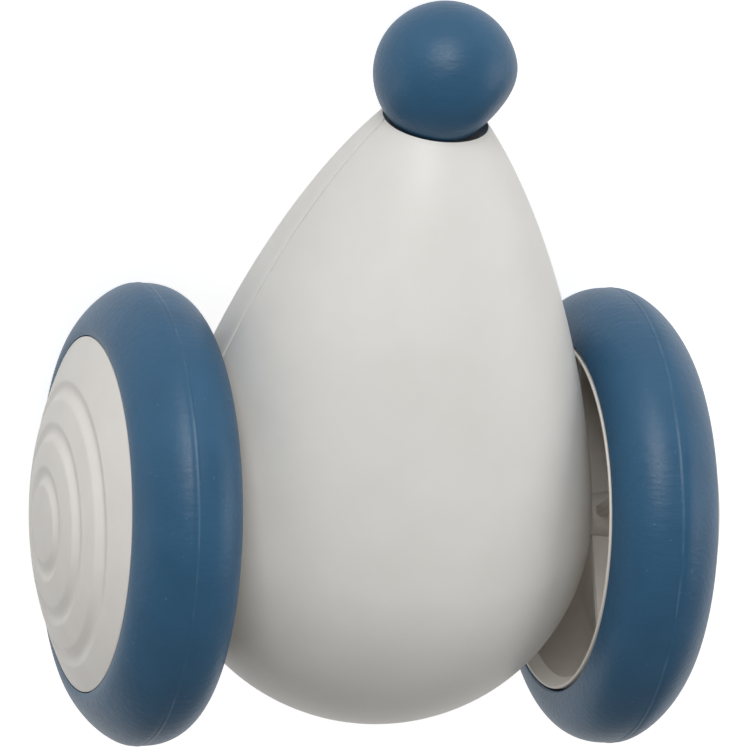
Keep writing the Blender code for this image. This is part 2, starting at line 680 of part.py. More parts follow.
def cap_outline():
    radii = {0.0, CAP_RADIUS, CAP_GROOVES[-1] / 2, (CAP_RADIUS + CAP_GROOVES[0]) / 2}
    for ring in CAP_GROOVES:
        radii |= {ring - CAP_GROOVE_HALF, ring, ring + CAP_GROOVE_HALF}
    face = [(cap_face(radius), radius) for radius in sorted(radii, reverse=True)]
    plug = RIM_RADIUS - RIM_BARREL_THICKNESS - GAP
    inside = plug - CAP_PLUG_THICKNESS
    under = [(cap_face(radius) - CAP_WALL, radius) for radius in (0.0, inside / 2, inside)]
    back = [
        (CAP_X - CAP_PLUG_DEPTH, inside),
        (CAP_X - CAP_PLUG_DEPTH, plug),
        (CAP_X, plug),
        (CAP_X, CAP_RADIUS),
    ]
    return face + under + back


def cap_mesh():
    """The turned hubcap, with its rings drifted off the middle. The dome and the edge stay as they are."""
    cap = turned_mesh(cap_outline(), RIM_SIDES)
    plain_edge = CAP_RADIUS - CAP_GROOVES[0] - CAP_GROOVE_HALF
    for vert in cap.verts:
        radius = math.hypot(vert.co.x, vert.co.y)
        if abs(vert.co.z - cap_face(radius)) > MERGE:
            continue
        drift_share = min(1.0, (CAP_RADIUS - radius) / plain_edge)
        vert.co.x += drift_share * RING_DRIFT_Y
        vert.co.y += drift_share * RING_DRIFT_Z
        vert.co.z += cap_dome(math.hypot(vert.co.x, vert.co.y)) - cap_dome(radius)
    return cap


def screw(name, head_radius, head_height, radius, length, sides, parent, metal="steel"):
    """A screw that points along -Z from a head whose underside is at zero, with a driver's recess."""
    outline = [
        (-length, 0),
        (-length, radius),
        (0, radius),
        (0, head_radius),
        (head_height, head_radius * 0.8),
        (head_height, radius),
        (head_height / 2, 0),
    ]
    return name, turned_mesh(outline, sides), finishes[metal], parent


def wheel(name, side, body):
    axis = axis_empty(f"{name}_wheel_axis", body)
    facet = PITCH - math.pi / 2 + math.pi / WHEEL_SIDES
    tyre = turned_mesh(tyre_outline(), WHEEL_SIDES, facet)
    piece(f"{name}_tyre", along_x(tyre, side), finishes["tyre"], axis)
    rim(name, side, axis)
    piece(f"{name}_hubcap", along_x(cap_mesh(), side), finishes["rim"], axis)
    inner_end = WALL_X - CHASSIS_WALL - AXLE_INNER_END_PAST_WALL
    outer_end = HUB_X + HUB_LENGTH
    hole = WHEEL_SCREW_RADIUS + GAP
    hole_end = outer_end - WHEEL_SCREW_LENGTH - GAP
    axle = [
        (inner_end, 0),
        (inner_end, AXLE_RADIUS),
        (outer_end, AXLE_RADIUS),
        (outer_end, hole),
        (hole_end, hole),
        (hole_end, 0),
    ]
    piece(f"{name}_axle", along_x(turned_mesh(axle, AXLE_SIDES), side), finishes["steel"], axis)
    fixing = screw(
        f"{name}_wheel_screw",
        WHEEL_SCREW_HEAD_RADIUS,
        WHEEL_SCREW_HEAD_HEIGHT,
        WHEEL_SCREW_RADIUS,
        WHEEL_SCREW_LENGTH,
        AXLE_SIDES,
        axis,
    )
    piece(fixing[0], along_x(moved(fixing[1], z=outer_end + GAP), side), fixing[2], fixing[3])
    gear = toothed(AXLE_GEAR_TEETH, 0.0)
    low = GEARS_X - AXLE_GEAR_WIDTH
    toothed_disc = along_x(prism_mesh(gear, low, GEARS_X), side)
    thing = piece(f"{name}_axle_gear", toothed_disc, finishes["gear"], axis, smooth=False)
    bore = drum_mesh(AXLE_RADIUS + GAP, low - OVERRUN, GEARS_X + OVERRUN, AXLE_SIDES)
    combine(thing, tool(f"{name}_axle_gear_bore", along_x(bore, side), axis))


# Gears

def toothed(teeth, first_tooth):
    """A gear's outline: straight-sided teeth with play. first_tooth is one tooth's angle."""
    pitch_radius = GEAR_MODULE * teeth / 2
    tip = pitch_radius + ADDENDUM_SHARE * GEAR_MODULE
    root = pitch_radius - DEDENDUM_SHARE * GEAR_MODULE
    step = 2 * math.pi / teeth
    tip_half = TIP_WIDTH_SHARE * math.pi * GEAR_MODULE / tip / 2
    root_half = ROOT_WIDTH_SHARE * math.pi * GEAR_MODULE / root / 2
    points = []
    for i in range(teeth):
        middle = first_tooth + i * step
        for radius, turn in ((root, -root_half), (tip, -tip_half), (tip, tip_half), (root, root_half)):
            points.append((radius * math.cos(middle + turn), radius * math.sin(middle + turn)))
    return points


def compound_gear(name, side, body):
    axis = axis_empty(f"{name}_compound_axis", body, (0, COMPOUND_Y, 0))
    large = toothed(COMPOUND_LARGE_TEETH, 0.0)
    small = toothed(COMPOUND_SMALL_TEETH, math.pi + math.pi / COMPOUND_SMALL_TEETH)
    low = LARGE_GEAR_X - COMPOUND_LARGE_WIDTH
    lower = along_x(prism_mesh(large, low, LARGE_GEAR_X), side)
    gear = piece(f"{name}_compound_gear", lower, finishes["gear"], axis, smooth=False)
    upper = along_x(prism_mesh(small, LARGE_GEAR_X - COMPOUND_LARGE_WIDTH / 2, GEARS_X), side)
    combine(gear, tool(f"{name}_compound_small", upper, axis), "UNION")
    bore = along_x(drum_mesh(PIN_RADIUS + GAP, low - OVERRUN, GEARS_X + OVERRUN), side)
    combine(gear, tool(f"{name}_compound_bore", bore, axis))
    pin = drum_mesh(PIN_RADIUS, WALL_X - CHASSIS_WALL + GAP, GEAR_PLATE_X - GAP)
    piece(f"{name}_gear_pin", moved(along_x(pin, side), y=COMPOUND_Y), finishes["steel"], body)


def motor(name, side, body):
    outline = []
    for i in range(MOTOR_SIDES):
        turn = 2 * math.pi * (i + 0.5) / MOTOR_SIDES
        flat = max(-MOTOR_FLAT_HALF, min(MOTOR_FLAT_HALF, MOTOR_RADIUS * math.sin(turn)))
        outline.append((MOTOR_RADIUS * math.cos(turn), flat))
    back = MOTOR_X - MOTOR_LENGTH
    nose_end = MOTOR_X + MOTOR_NOSE_LENGTH
    block = moved(along_x(prism_mesh(outline, back, MOTOR_X), side), y=PINION_Y)
    can = piece(f"{name}_motor", block, finishes["can"], body)
    boss = along_x(drum_mesh(MOTOR_NOSE_RADIUS, MOTOR_X - MOTOR_LENGTH / 2, nose_end, AXLE_SIDES), side)
    combine(can, tool(f"{name}_motor_nose", moved(boss, y=PINION_Y), body), "UNION")
    shaft_low = nose_end - MOTOR_SHAFT_IN_CAN
    bore = along_x(drum_mesh(MOTOR_SHAFT_RADIUS + GAP, shaft_low - GAP, nose_end + OVERRUN), side)
    combine(can, tool(f"{name}_motor_bore", moved(bore, y=PINION_Y), body))
    axis = axis_empty(f"{name}_pinion_axis", body, (0, PINION_Y, 0))
    teeth = toothed(PINION_TEETH, math.pi + math.pi / PINION_TEETH)
    low = WALL_X + RUNNING_GAP / 2
    toothed_end = along_x(prism_mesh(teeth, low, low + PINION_WIDTH), side)
    gear = piece(f"{name}_pinion", toothed_end, finishes["brass"], axis, smooth=False)
    shaft = along_x(drum_mesh(MOTOR_SHAFT_RADIUS, shaft_low, low + PINION_WIDTH + GAP), side)
    combine(gear, tool(f"{name}_motor_shaft", shaft, axis), "UNION")


# Chassis and gear plates

def pill(radius_a, radius_b, distance, sides=PILL_SIDES):
    """The outline round two circles, the second one distance along u from the first."""
    lean = math.asin((radius_a - radius_b) / distance)
    points = []
    for centre, radius, first, last in (
        (0.0, radius_a, math.pi / 2 - lean, 3 * math.pi / 2 + lean),
        (distance, radius_b, -math.pi / 2 + lean, math.pi / 2 - lean),
    ):
        for i in range(sides // 2):
            turn = first + (last - first) * i / (sides // 2 - 1)
            points.append((centre + radius * math.cos(turn), radius * math.sin(turn)))
    return points


def gear_plate(name, side, body):
    low = GEAR_PLATE_X - GEAR_PLATE_THICKNESS
    outline = pill(GEAR_PLATE_RADIUS, GEAR_PLATE_PIN_RADIUS, COMPOUND_Y)
    flat = along_x(prism_mesh(outline, low, GEAR_PLATE_X), side)
    plate = piece(f"{name}_gear_plate", flat, finishes["inner"], body)
    ear_radius = COLUMN_RADIUS + GAP
    for i, (y, z) in enumerate(COLUMNS):
        reach = math.hypot(y, z)
        bar = prism_mesh(pill(GEAR_PLATE_RADIUS / 2, ear_radius, reach), low, GEAR_PLATE_X)
        turn = Matrix.Rotation(math.atan2(z, y), 3, "Z")
        bmesh.ops.rotate(bar, cent=(0, 0, 0), matrix=turn, verts=bar.verts)
        combine(plate, tool(f"{name}_plate_ear_{i + 1}", along_x(bar, side), body), "UNION")
    boss_top = GEAR_PLATE_X + GEAR_PLATE_BOSS_HEIGHT
    boss = drum_mesh(GEAR_PLATE_BOSS_RADIUS, low + GEAR_PLATE_THICKNESS / 2, boss_top, AXLE_SIDES)
    combine(plate, tool(f"{name}_plate_boss", along_x(boss, side), body), "UNION")
    holes = [(AXLE_RADIUS, 0, 0), (PIN_RADIUS, COMPOUND_Y, 0)]
    holes += [(SCREW_RADIUS, y, z) for y, z in COLUMNS]
    for i, (radius, y, z) in enumerate(holes):
        hole = along_x(drum_mesh(radius + GAP, low - OVERRUN, boss_top + OVERRUN, AXLE_SIDES), side)
        combine(plate, tool(f"{name}_plate_hole_{i + 1}", moved(hole, y=y, z=z), body))
    for i, (y, z) in enumerate(COLUMNS):
        fixing = screw(
            f"{name}_plate_screw_{i + 1}",
            SCREW_HEAD_RADIUS,
            SCREW_HEAD_HEIGHT,
            SCREW_RADIUS,
            PLATE_SCREW_LENGTH,
            SCREW_SIDES,
            body,
        )
        placed = moved(along_x(moved(fixing[1], z=GEAR_PLATE_X + GAP), side), y=y, z=z)
        piece(fixing[0], placed, fixing[2], fixing[3])


def axle_bush(name, side, body):
    inner = AXLE_RADIUS + GAP
    outer = inner + BUSH_WALL
    wall_in = WALL_X - CHASSIS_WALL
    outline = [
        (wall_in - GAP - BUSH_FLANGE, inner),
        (wall_in - GAP - BUSH_FLANGE, outer + BUSH_FLANGE),
        (wall_in - GAP, outer + BUSH_FLANGE),
        (wall_in - GAP, outer),
        (WALL_X, outer),
        (WALL_X, inner),
    ]
    piece(f"{name}_axle_bush", along_x(turned_mesh(outline, AXLE_SIDES), side), finishes["brass"], body)


def chassis(body):
    low_z = FLOOR_Z - CHASSIS_FLOOR
    floor = block_mesh(
        (-CHASSIS_HALF_WIDTH, CHASSIS_REAR_Y, low_z),
        (CHASSIS_HALF_WIDTH, CHASSIS_FRONT_Y, FLOOR_Z),
    )
    frame = piece("chassis", floor, finishes["inner"], body, smooth=False)
    slot_z = (low_z - OVERRUN, FLOOR_Z + OVERRUN)
    slot = block_mesh(
        (-LEAD_SLOT_WIDTH / 2, LEAD_SLOT_Y - LEAD_SLOT_LENGTH / 2, slot_z[0]),
        (LEAD_SLOT_WIDTH / 2, LEAD_SLOT_Y + LEAD_SLOT_LENGTH / 2, slot_z[1]),
    )
    combine(frame, tool("lead_slot", slot, body))
    sunk = FLOOR_Z - CHASSIS_FLOOR / 2
    top_y, top_z = COLUMNS[1]
    rear_y = CHASSIS_REAR_Y + WALL_END_INSET
    front_y = CHASSIS_FRONT_Y - WALL_END_INSET
    wall_outline = [
        (rear_y, sunk),
        (front_y, sunk),
        (front_y, WALL_TOP_Z),
        (top_y + 2 * COLUMN_RADIUS, WALL_TOP_Z),
        (top_y + COLUMN_RADIUS, top_z + 1.5 * COLUMN_RADIUS),
        (top_y - COLUMN_RADIUS, top_z + 1.5 * COLUMN_RADIUS),
        (top_y - 2 * COLUMN_RADIUS, WALL_TOP_Z),
        (rear_y, WALL_TOP_Z),
    ]
    for name, side in SIDES:
        wall = along_x(prism_mesh(wall_outline, WALL_X - CHASSIS_WALL, WALL_X), side)
        combine(frame, tool(f"{name}_wall", wall, body), "UNION")
        middle_x = side * (MOTOR_X - MOTOR_LENGTH / 2)
        half_width = CRADLE_WIDTH_SHARE * MOTOR_LENGTH / 2
        cradle = block_mesh(
            (middle_x - half_width, PINION_Y - CRADLE_LENGTH / 2, sunk),
            (middle_x + half_width, PINION_Y + CRADLE_LENGTH / 2, -MOTOR_FLAT_HALF - GAP),
        )
        combine(frame, tool(f"{name}_cradle", cradle, body), "UNION")
        column_end = GEAR_PLATE_X - GEAR_PLATE_THICKNESS - GAP
        for i, (y, z) in enumerate(COLUMNS):
            column = drum_mesh(COLUMN_RADIUS, WALL_X - CHASSIS_WALL / 2, column_end)
            helper = tool(f"{name}_column_{i + 1}", moved(along_x(column, side), y=y, z=z), body)
            combine(frame, helper, "UNION")
            hole_low = GEAR_PLATE_X - PLATE_SCREW_LENGTH - GAP
            hole = drum_mesh(SCREW_RADIUS + GAP, hole_low, column_end + OVERRUN)
            combine(frame, tool(f"{name}_column_hole_{i + 1}", moved(along_x(hole, side), y=y, z=z), body))
        bush_hole = AXLE_RADIUS + GAP + BUSH_WALL + GAP
        holes = ((bush_hole, 0), (PIN_RADIUS + GAP, COMPOUND_Y), (MOTOR_NOSE_RADIUS + GAP, PINION_Y))
        for i, (radius, y) in enumerate(holes):
            hole = drum_mesh(radius, WALL_X - CHASSIS_WALL - OVERRUN, WALL_X + OVERRUN, AXLE_SIDES)
            combine(frame, tool(f"{name}_wall_hole_{i + 1}", moved(along_x(hole, side), y=y), body))


# Battery, board and what they carry

def battery(body):
    high = (BATTERY_WIDTH / 2, BATTERY_REAR_Y + BATTERY_LENGTH, BATTERY_Z + BATTERY_THICKNESS)
    cell_mesh = block_mesh((-BATTERY_WIDTH / 2, BATTERY_REAR_Y, BATTERY_Z), high)
    bmesh.ops.bevel(cell_mesh, geom=cell_mesh.edges[:], offset=BATTERY_EDGE, segments=2, affect="EDGES")
    piece("battery", cell_mesh, finishes["battery"], body)
    top = high[2] + GAP
    inside = BATTERY_WIDTH / 2 + GAP
    foot_z = WALL_TOP_Z + GAP
    foot_x = inside + STRAP_THICKNESS + STRAP_FOOT
    half = [
        (foot_x, foot_z),
        (foot_x, foot_z + STRAP_THICKNESS),
        (inside + STRAP_THICKNESS, foot_z + STRAP_THICKNESS),
        (inside + STRAP_THICKNESS, top + STRAP_THICKNESS),
    ]
    half_inside = [(inside, top), (inside, foot_z)]
    other_half = [(-x, z) for x, z in half[::-1] + half_inside[::-1]]
    outline = half + other_half + half_inside
    middle = PINION_Y
    strap = along_y(prism_mesh(outline, middle - STRAP_WIDTH / 2, middle + STRAP_WIDTH / 2))
    piece("battery_strap", strap, finishes["inner"], body, smooth=False)


def stadium(width, height, steps=SOCKET_CORNER_STEPS):
    """A flat outline with round ends."""
    points = []
    end_x = (width - height) / 2
    for way in (1, -1):
        for i in range(steps + 1):
            turn = (math.pi * i / steps - math.pi / 2) + (0 if way > 0 else math.pi)
            points.append((way * end_x + height / 2 * math.cos(turn), height / 2 * math.sin(turn)))
    return points


def circuit_board(body):
    half = [
        (BOARD_TONGUE_HALF_WIDTH, BOARD_REAR_Y),
        (BOARD_HALF_WIDTH, BOARD_SHOULDER_Y),
        (BOARD_HALF_WIDTH, BOARD_FRONT_Y),
    ]
    outline = half + [(-x, y) for x, y in half[::-1]]
    sheet = prism_mesh(outline, BOARD_LOW_Z, BOARD_TOP_Z)
    board = piece("circuit_board", sheet, finishes["board"], body, smooth=False)
    hole_low = BOARD_LOW_Z - OVERRUN
    hole_high = BOARD_TOP_Z + OVERRUN
    for name, side in SIDES:
        place = (side * BOARD_SCREW_X, BOARD_SCREW_Y)
        bored(board, f"{name}_board_hole", SCREW_RADIUS + GAP, hole_low, hole_high, place, body)
    for i, (name, side) in enumerate(SIDES):
        fixing = screw(
            f"board_screw_{i + 1}",
            SCREW_HEAD_RADIUS,
            SCREW_HEAD_HEIGHT,
            SCREW_RADIUS,
            BOARD_SCREW_LENGTH,
            SCREW_SIDES,
            body,
        )
        placed = moved(fixing[1], side * BOARD_SCREW_X, BOARD_SCREW_Y, BOARD_TOP_Z + GAP)
        piece(fixing[0], placed, fixing[2], fixing[3])
    chip_low = BOARD_TOP_Z + GAP
    half_chip = CHIP_SIZE / 2
    chip = block_mesh(
        (-half_chip, CHIP_Y - half_chip, chip_low),
        (half_chip, CHIP_Y + half_chip, chip_low + CHIP_HEIGHT),
    )
    piece("controller_chip", chip, finishes["black"], body, smooth=False)
    switch_top = BOARD_LOW_Z - GAP
    switch_low = switch_top - SWITCH_HEIGHT
    half_switch = SWITCH_SIZE / 2
    case = block_mesh(
        (-half_switch, EGG_WIDEST_Y - half_switch, switch_low),
        (half_switch, EGG_WIDEST_Y + half_switch, switch_top),
    )
    switch = piece("push_switch", case, finishes["black"], body, smooth=False)
    plunger_low = switch_low - SWITCH_PLUNGER_HEIGHT
    plunger = drum_mesh(SWITCH_PLUNGER_RADIUS, plunger_low, switch_low + SWITCH_HEIGHT / 2)
    combine(switch, tool("switch_plunger", moved(plunger, y=EGG_WIDEST_Y), body), "UNION")
    light_low = switch_top - LIGHT_HEIGHT
    dome = [
        (switch_top, 0),
        (switch_top, LIGHT_RADIUS),
        (light_low + LIGHT_RADIUS, LIGHT_RADIUS),
        (light_low + LIGHT_RADIUS * 0.3, LIGHT_RADIUS * 0.7),
        (light_low, 0),
    ]
    piece("status_light", moved(turned_mesh(dome, SCREW_SIDES), LIGHT_X, LIGHT_Y), finishes["lens"], body)
    surface_z = -math.sqrt(egg_radius_at(LIGHT_Y) ** 2 - LIGHT_X**2)
    pipe = moved(drum_mesh(LENS_RADIUS, surface_z + LENS_INSET, light_low - GAP), LIGHT_X, LIGHT_Y)
    piece("light_lens", pipe, finishes["lens"], body)


def charging_socket(body):
    mouth_y = rear_y_at(math.hypot(SOCKET_WIDTH / 2, SOCKET_Z)) + SOCKET_RECESS
    end_y = mouth_y + SOCKET_LENGTH
    shell = along_y(prism_mesh(stadium(SOCKET_WIDTH, SOCKET_HEIGHT), mouth_y, end_y))
    can = piece("charging_socket", moved(shell, z=SOCKET_Z), finishes["steel"], body)
    inner = stadium(SOCKET_WIDTH - 2 * SOCKET_WALL, SOCKET_HEIGHT - 2 * SOCKET_WALL)
    hollow = moved(along_y(prism_mesh(inner, mouth_y - OVERRUN, mouth_y + SOCKET_DEPTH)), z=SOCKET_Z)
    combine(can, tool("socket_hollow", hollow, body))
    tongue = block_mesh(
        (-SOCKET_TONGUE_WIDTH / 2, mouth_y + SOCKET_TONGUE_INSET, SOCKET_Z - SOCKET_TONGUE_THICKNESS / 2),
        (SOCKET_TONGUE_WIDTH / 2, end_y - SOCKET_WALL, SOCKET_Z + SOCKET_TONGUE_THICKNESS / 2),
    )
    combine(can, tool("socket_tongue", tongue, body), "UNION")


def power_button(body):
    axis = axis_empty("power_button_axis", body, (0, EGG_WIDEST_Y, 0))
    flange_low = BUTTON_SEAT_Z + GAP
    plunger_z = BOARD_LOW_Z - GAP - SWITCH_HEIGHT - SWITCH_PLUNGER_HEIGHT
    outline = [
        (BUTTON_FACE_Z + BUTTON_DISH, 0),
        (BUTTON_FACE_Z, BUTTON_RADIUS * 0.8),
        (BUTTON_FACE_Z + BUTTON_DISH, BUTTON_RADIUS),
        (flange_low, BUTTON_RADIUS),
        (flange_low, BUTTON_FLANGE_RADIUS),
        (flange_low + BUTTON_FLANGE, BUTTON_FLANGE_RADIUS),
        (flange_low + BUTTON_FLANGE, BUTTON_STEM_RADIUS),
        (plunger_z - GAP - BUTTON_TRAVEL, BUTTON_STEM_RADIUS),
        (plunger_z - GAP - BUTTON_TRAVEL, 0),
    ]
    piece("power_button", turned_mesh(outline, AXLE_SIDES), finishes["tyre"], axis)


def shell_screws(body):
    for i, (x, y) in enumerate(POSTS):
        fixing = screw(
            f"shell_screw_{i + 1}",
            SHELL_SCREW_HEAD_RADIUS,
            SHELL_SCREW_HEAD_HEIGHT,
            SHELL_SCREW_RADIUS,
            SHELL_SCREW_LENGTH,
            SCREW_SIDES,
            body,
        )
        bmesh.ops.scale(fixing[1], vec=(1, 1, -1), verts=fixing[1].verts)
        placed = moved(fixing[1], x, y, SHELL_SCREW_SEAT_Z - 2 * GAP)
        piece(fixing[0], placed, fixing[2], fixing[3])


# Leads

def lead(name, colour, route, body):
    """A wire through the given places, on one smooth curve."""
    points = np.array(route)
    count = 2 * len(route) + 3
    padded = np.vstack([2 * points[0] - points[1], points, 2 * points[-1] - points[-2]])
    smooth = []
    for s in np.linspace(0, len(route) - 1, count):
        i = min(int(s), len(route) - 2)
        t = s - i
        a, b, c, d = padded[i : i + 4]
        square = 2 * a - 5 * b + 4 * c - d
        cube = 3 * b - a - 3 * c + d
        smooth.append(b + ((c - a) * t + square * t**2 + cube * t**3) / 2)
    curve = bpy.data.curves.new(name, "CURVE")
    curve.dimensions = "3D"
    curve.bevel_depth = LEAD_RADIUS
    curve.bevel_resolution = 1
    curve.use_fill_caps = True
    spline = curve.splines.new("POLY")
    spline.points.add(len(smooth) - 1)
    for target, place in zip(spline.points, smooth):
        target.co = (*place, 1)
    curve.materials.append(finishes[colour])
    thing = bpy.data.objects.new(name, curve)
    bpy.context.scene.collection.objects.link(thing)
    thing.parent = body


def leads(body):
    """Battery and motor leads, down to the board's upper face."""
    board_end = BOARD_TOP_Z + GAP
    battery_out = BATTERY_REAR_Y - GAP
    middle_z = BATTERY_Z + BATTERY_THICKNESS / 2
    back_y = battery_out - BATTERY_LEAD_LOOP
    slot_rear = LEAD_SLOT_Y - LEAD_PAIR_SPREAD / 2
    slot_front = LEAD_SLOT_Y + LEAD_PAIR_SPREAD / 2
    for colour, x in (("red", -2 * LEAD_RADIUS), ("black", 2 * LEAD_RADIUS)):
        route = [
            (x, battery_out, middle_z),
            (x, back_y, (middle_z + BATTERY_Z) / 2),
            (x, back_y, BATTERY_Z / 2),
            (x, (back_y + slot_rear) / 2, FLOOR_Z / 4),
            (x, slot_rear, 3 * FLOOR_Z / 4),
            (x, slot_rear, FLOOR_Z),
            (x, slot_rear, board_end),
        ]
        lead(f"battery_lead_{colour}", colour, route, body)
    for name, side in SIDES:
        start_x = side * (MOTOR_X - MOTOR_LENGTH - GAP - LEAD_RADIUS)
        for colour, z, spread in (("red", MOTOR_FLAT_HALF / 2, 3), ("black", -MOTOR_FLAT_HALF / 2, 7)):
            end_x = side * spread * LEAD_RADIUS
            dip = MOTOR_FLAT_HALF / 4
            route = [
                (start_x, PINION_Y, z),
                (start_x, PINION_Y - MOTOR_RADIUS, z),
                ((start_x + end_x) / 2, (PINION_Y - MOTOR_RADIUS + slot_front) / 2, z - dip),
                (end_x, slot_front, FLOOR_Z / 2 - dip),
                (end_x, slot_front, FLOOR_Z),
                (end_x, slot_front, board_end),
            ]
            lead(f"{name}_motor_lead_{colour}", colour, route, body)


# The whole toy

for old in list(bpy.data.objects):
    bpy.data.objects.remove(old, do_unlink=True)

finishes = {
    "shell": finish("shell_plastic", (0.83, 0.825, 0.81), 0.45),
    "tyre": finish("blue_rubber", (0.29, 0.44, 0.56), 0.55),
    "rim": finish("white_plastic", (0.85, 0.845, 0.83), 0.45),
    "gear": finish("gear_plastic", (0.90, 0.89, 0.85), 0.4),
    "inner": finish("frame_plastic", (0.25, 0.26, 0.28), 0.5),
    "steel": finish("steel", (0.62, 0.62, 0.63), 0.3, 1.0),
    "can": finish("motor_can", (0.66, 0.66, 0.65), 0.35, 1.0),
    "brass": finish("brass", (0.78, 0.66, 0.38), 0.35, 1.0),
    "battery": finish("battery_foil", (0.60, 0.62, 0.66), 0.35, 0.6),
    "board": finish("board_lacquer", (0.07, 0.30, 0.17), 0.35),
    "black": finish("black_plastic", (0.06, 0.06, 0.065), 0.45),
    "lens": finish("clear_plastic", (0.85, 0.88, 0.90), 0.15),
    "red": finish("red_lead", (0.65, 0.08, 0.06), 0.5),
    "tool": finish("tool", (0.5, 0.5, 0.5), 0.5),
}

mouse = axis_empty("mouse", None, (0, AXLE_Y, WHEEL_RADIUS))
mouse.rotation_euler = (-PITCH, 0, 0)

top_shell(mouse)
bottom_shell(mouse)
nose(mouse)
chassis(mouse)
for side_name, side_sign in SIDES:
    wheel(side_name, side_sign, mouse)
    compound_gear(side_name, side_sign, mouse)
    motor(side_name, side_sign, mouse)
    gear_plate(side_name, side_sign, mouse)
    axle_bush(side_name, side_sign, mouse)
battery(mouse)
circuit_board(mouse)
charging_socket(mouse)
power_button(mouse)
shell_screws(mouse)
leads(mouse)
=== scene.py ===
# %% [markdown]
# # A robotic mouse for cats
#
# The real toy is an egg of two plastic shells, carried by two large wheels with soft tyres. A rubber ball at the
# egg's thin end is its nose, and its third foot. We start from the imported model, which gives each piece its size
# and place, and build the surfaces that the eye sees around it.

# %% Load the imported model
import json
import math

import bmesh
import bpy
import numpy as np
from mathutils import Matrix, Vector


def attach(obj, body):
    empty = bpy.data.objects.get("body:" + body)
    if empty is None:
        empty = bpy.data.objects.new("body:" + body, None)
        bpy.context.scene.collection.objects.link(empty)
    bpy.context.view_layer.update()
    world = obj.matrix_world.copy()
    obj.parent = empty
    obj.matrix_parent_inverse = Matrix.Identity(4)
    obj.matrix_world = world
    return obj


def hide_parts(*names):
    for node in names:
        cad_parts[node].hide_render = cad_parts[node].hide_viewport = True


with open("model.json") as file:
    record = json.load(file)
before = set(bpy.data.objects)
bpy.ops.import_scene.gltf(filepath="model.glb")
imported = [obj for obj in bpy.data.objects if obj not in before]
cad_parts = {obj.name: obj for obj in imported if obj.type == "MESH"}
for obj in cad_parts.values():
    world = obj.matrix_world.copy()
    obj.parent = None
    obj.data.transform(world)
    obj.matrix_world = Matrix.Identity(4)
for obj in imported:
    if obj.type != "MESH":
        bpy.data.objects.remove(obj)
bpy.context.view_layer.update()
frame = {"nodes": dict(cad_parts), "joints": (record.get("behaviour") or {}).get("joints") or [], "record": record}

MM = 0.001

# %% [markdown]
# ## The toy's own directions
#
# The toy leans nose-down, because the axles are higher than the middle of the nose ball. It is easier to model each
# piece upright and to lean it afterwards, so we read the lean from the direction in which the power button slides,
# and the middle of the axles from the wheel's joint. TOY is then the matrix that puts an upright piece in place:
# upright, X runs along the axles, Y towards the nose, and the middle of the axles is the origin.

# %% The axles and the lean
joints = {joint["name"]: joint for joint in frame["joints"]}
AXLE = Vector(joints["left_wheel_turn"]["pos_m"])
button_way = joints["power_button_press"]["axis"]
LEAN = math.atan2(button_way[1], button_way[2])
TOY = Matrix.Translation(AXLE) @ Matrix.Rotation(-LEAN, 4, "X")
WHEEL_RADIUS = AXLE.z
SIDES = (("left", -1), ("right", 1))
print("lean in degrees:", round(math.degrees(LEAN), 2), "axle at", [round(v / MM, 2) for v in AXLE])

# %% [markdown]
# ## Working by hand
#
# Blender's operators act on whatever is selected. These short helpers select one piece, draw an outline point by
# point, and turn it as a lathe would. A turned piece starts as one vertex that is extruded along its outline, and
# Spin then sweeps that outline round the Z axis. Its doubles are merged before its normals are recalculated, so that
# its seam and its poles are closed and all faces point outwards.

# %% Selecting, drawing and turning
CLOSE = 0.002 * MM
EXACT = 0.0002 * MM


def pick_nothing():
    if bpy.context.mode != "OBJECT":
        bpy.ops.object.mode_set(mode="OBJECT")
    bpy.ops.object.select_all(action="DESELECT")


def pick(piece):
    pick_nothing()
    piece.select_set(True)
    bpy.context.view_layer.objects.active = piece


def edit(piece, select="SELECT"):
    pick(piece)
    bpy.ops.object.mode_set(mode="EDIT")
    bpy.ops.mesh.select_all(action=select)


def draw(name, outline):
    """Draws a closed outline of (x, y, z) points as one vertex, extruded from point to point."""
    pick_nothing()
    bpy.ops.mesh.primitive_plane_add(size=MM)
    piece = bpy.context.object
    piece.name = name
    bpy.ops.object.mode_set(mode="EDIT")
    bpy.ops.mesh.merge(type="CENTER")
    bpy.ops.transform.translate(value=outline[0])
    points = [Vector(point) for point in outline]
    points.append(points[0])
    for here, there in zip(points, points[1:]):
        bpy.ops.mesh.extrude_vertices_move(TRANSFORM_OT_translate={"value": there - here})
    bpy.ops.mesh.select_all(action="SELECT")
    bpy.ops.mesh.remove_doubles(threshold=CLOSE)
    return piece


def turn(name, outline, steps):
    """Turns a closed outline of (along, radius) points about Z."""
    piece = draw(name, [(radius, 0, along) for along, radius in outline])
    bpy.ops.mesh.spin(steps=steps, angle=2 * math.pi, center=(0, 0, 0), axis=(0, 0, 1))
    bpy.ops.mesh.select_all(action="SELECT")
    bpy.ops.mesh.remove_doubles(threshold=CLOSE)
    bpy.ops.mesh.normals_make_consistent(inside=False)
    bpy.ops.object.mode_set(mode="OBJECT")
    return piece


def drawn_out(name, outline, low, high):
    """Fills a flat outline of (x, y) points and extrudes it from low to high."""
    piece = draw(name, [(x, y, low) for x, y in outline])
    bpy.ops.mesh.edge_face_add()
    bpy.ops.mesh.extrude_region_move(TRANSFORM_OT_translate={"value": (0, 0, high - low)})
    bpy.ops.mesh.select_all(action="SELECT")
    bpy.ops.mesh.normals_make_consistent(inside=False)
    bpy.ops.object.mode_set(mode="OBJECT")
    return piece


# %% [markdown]
# ## Finishing a piece
#
# A boolean cuts a drill or a slot out of a shell, or joins a rib to a rim. Every finished piece ends the same way: its
# place goes into its mesh, its shading is smoothed except at real edges, it gets its finish, it is parented to an empty
# for the body that carries it, and the node of the imported model that it stands for is hidden.

# %% Cutting, placing and handing over
SMOOTH_UP_TO = 30


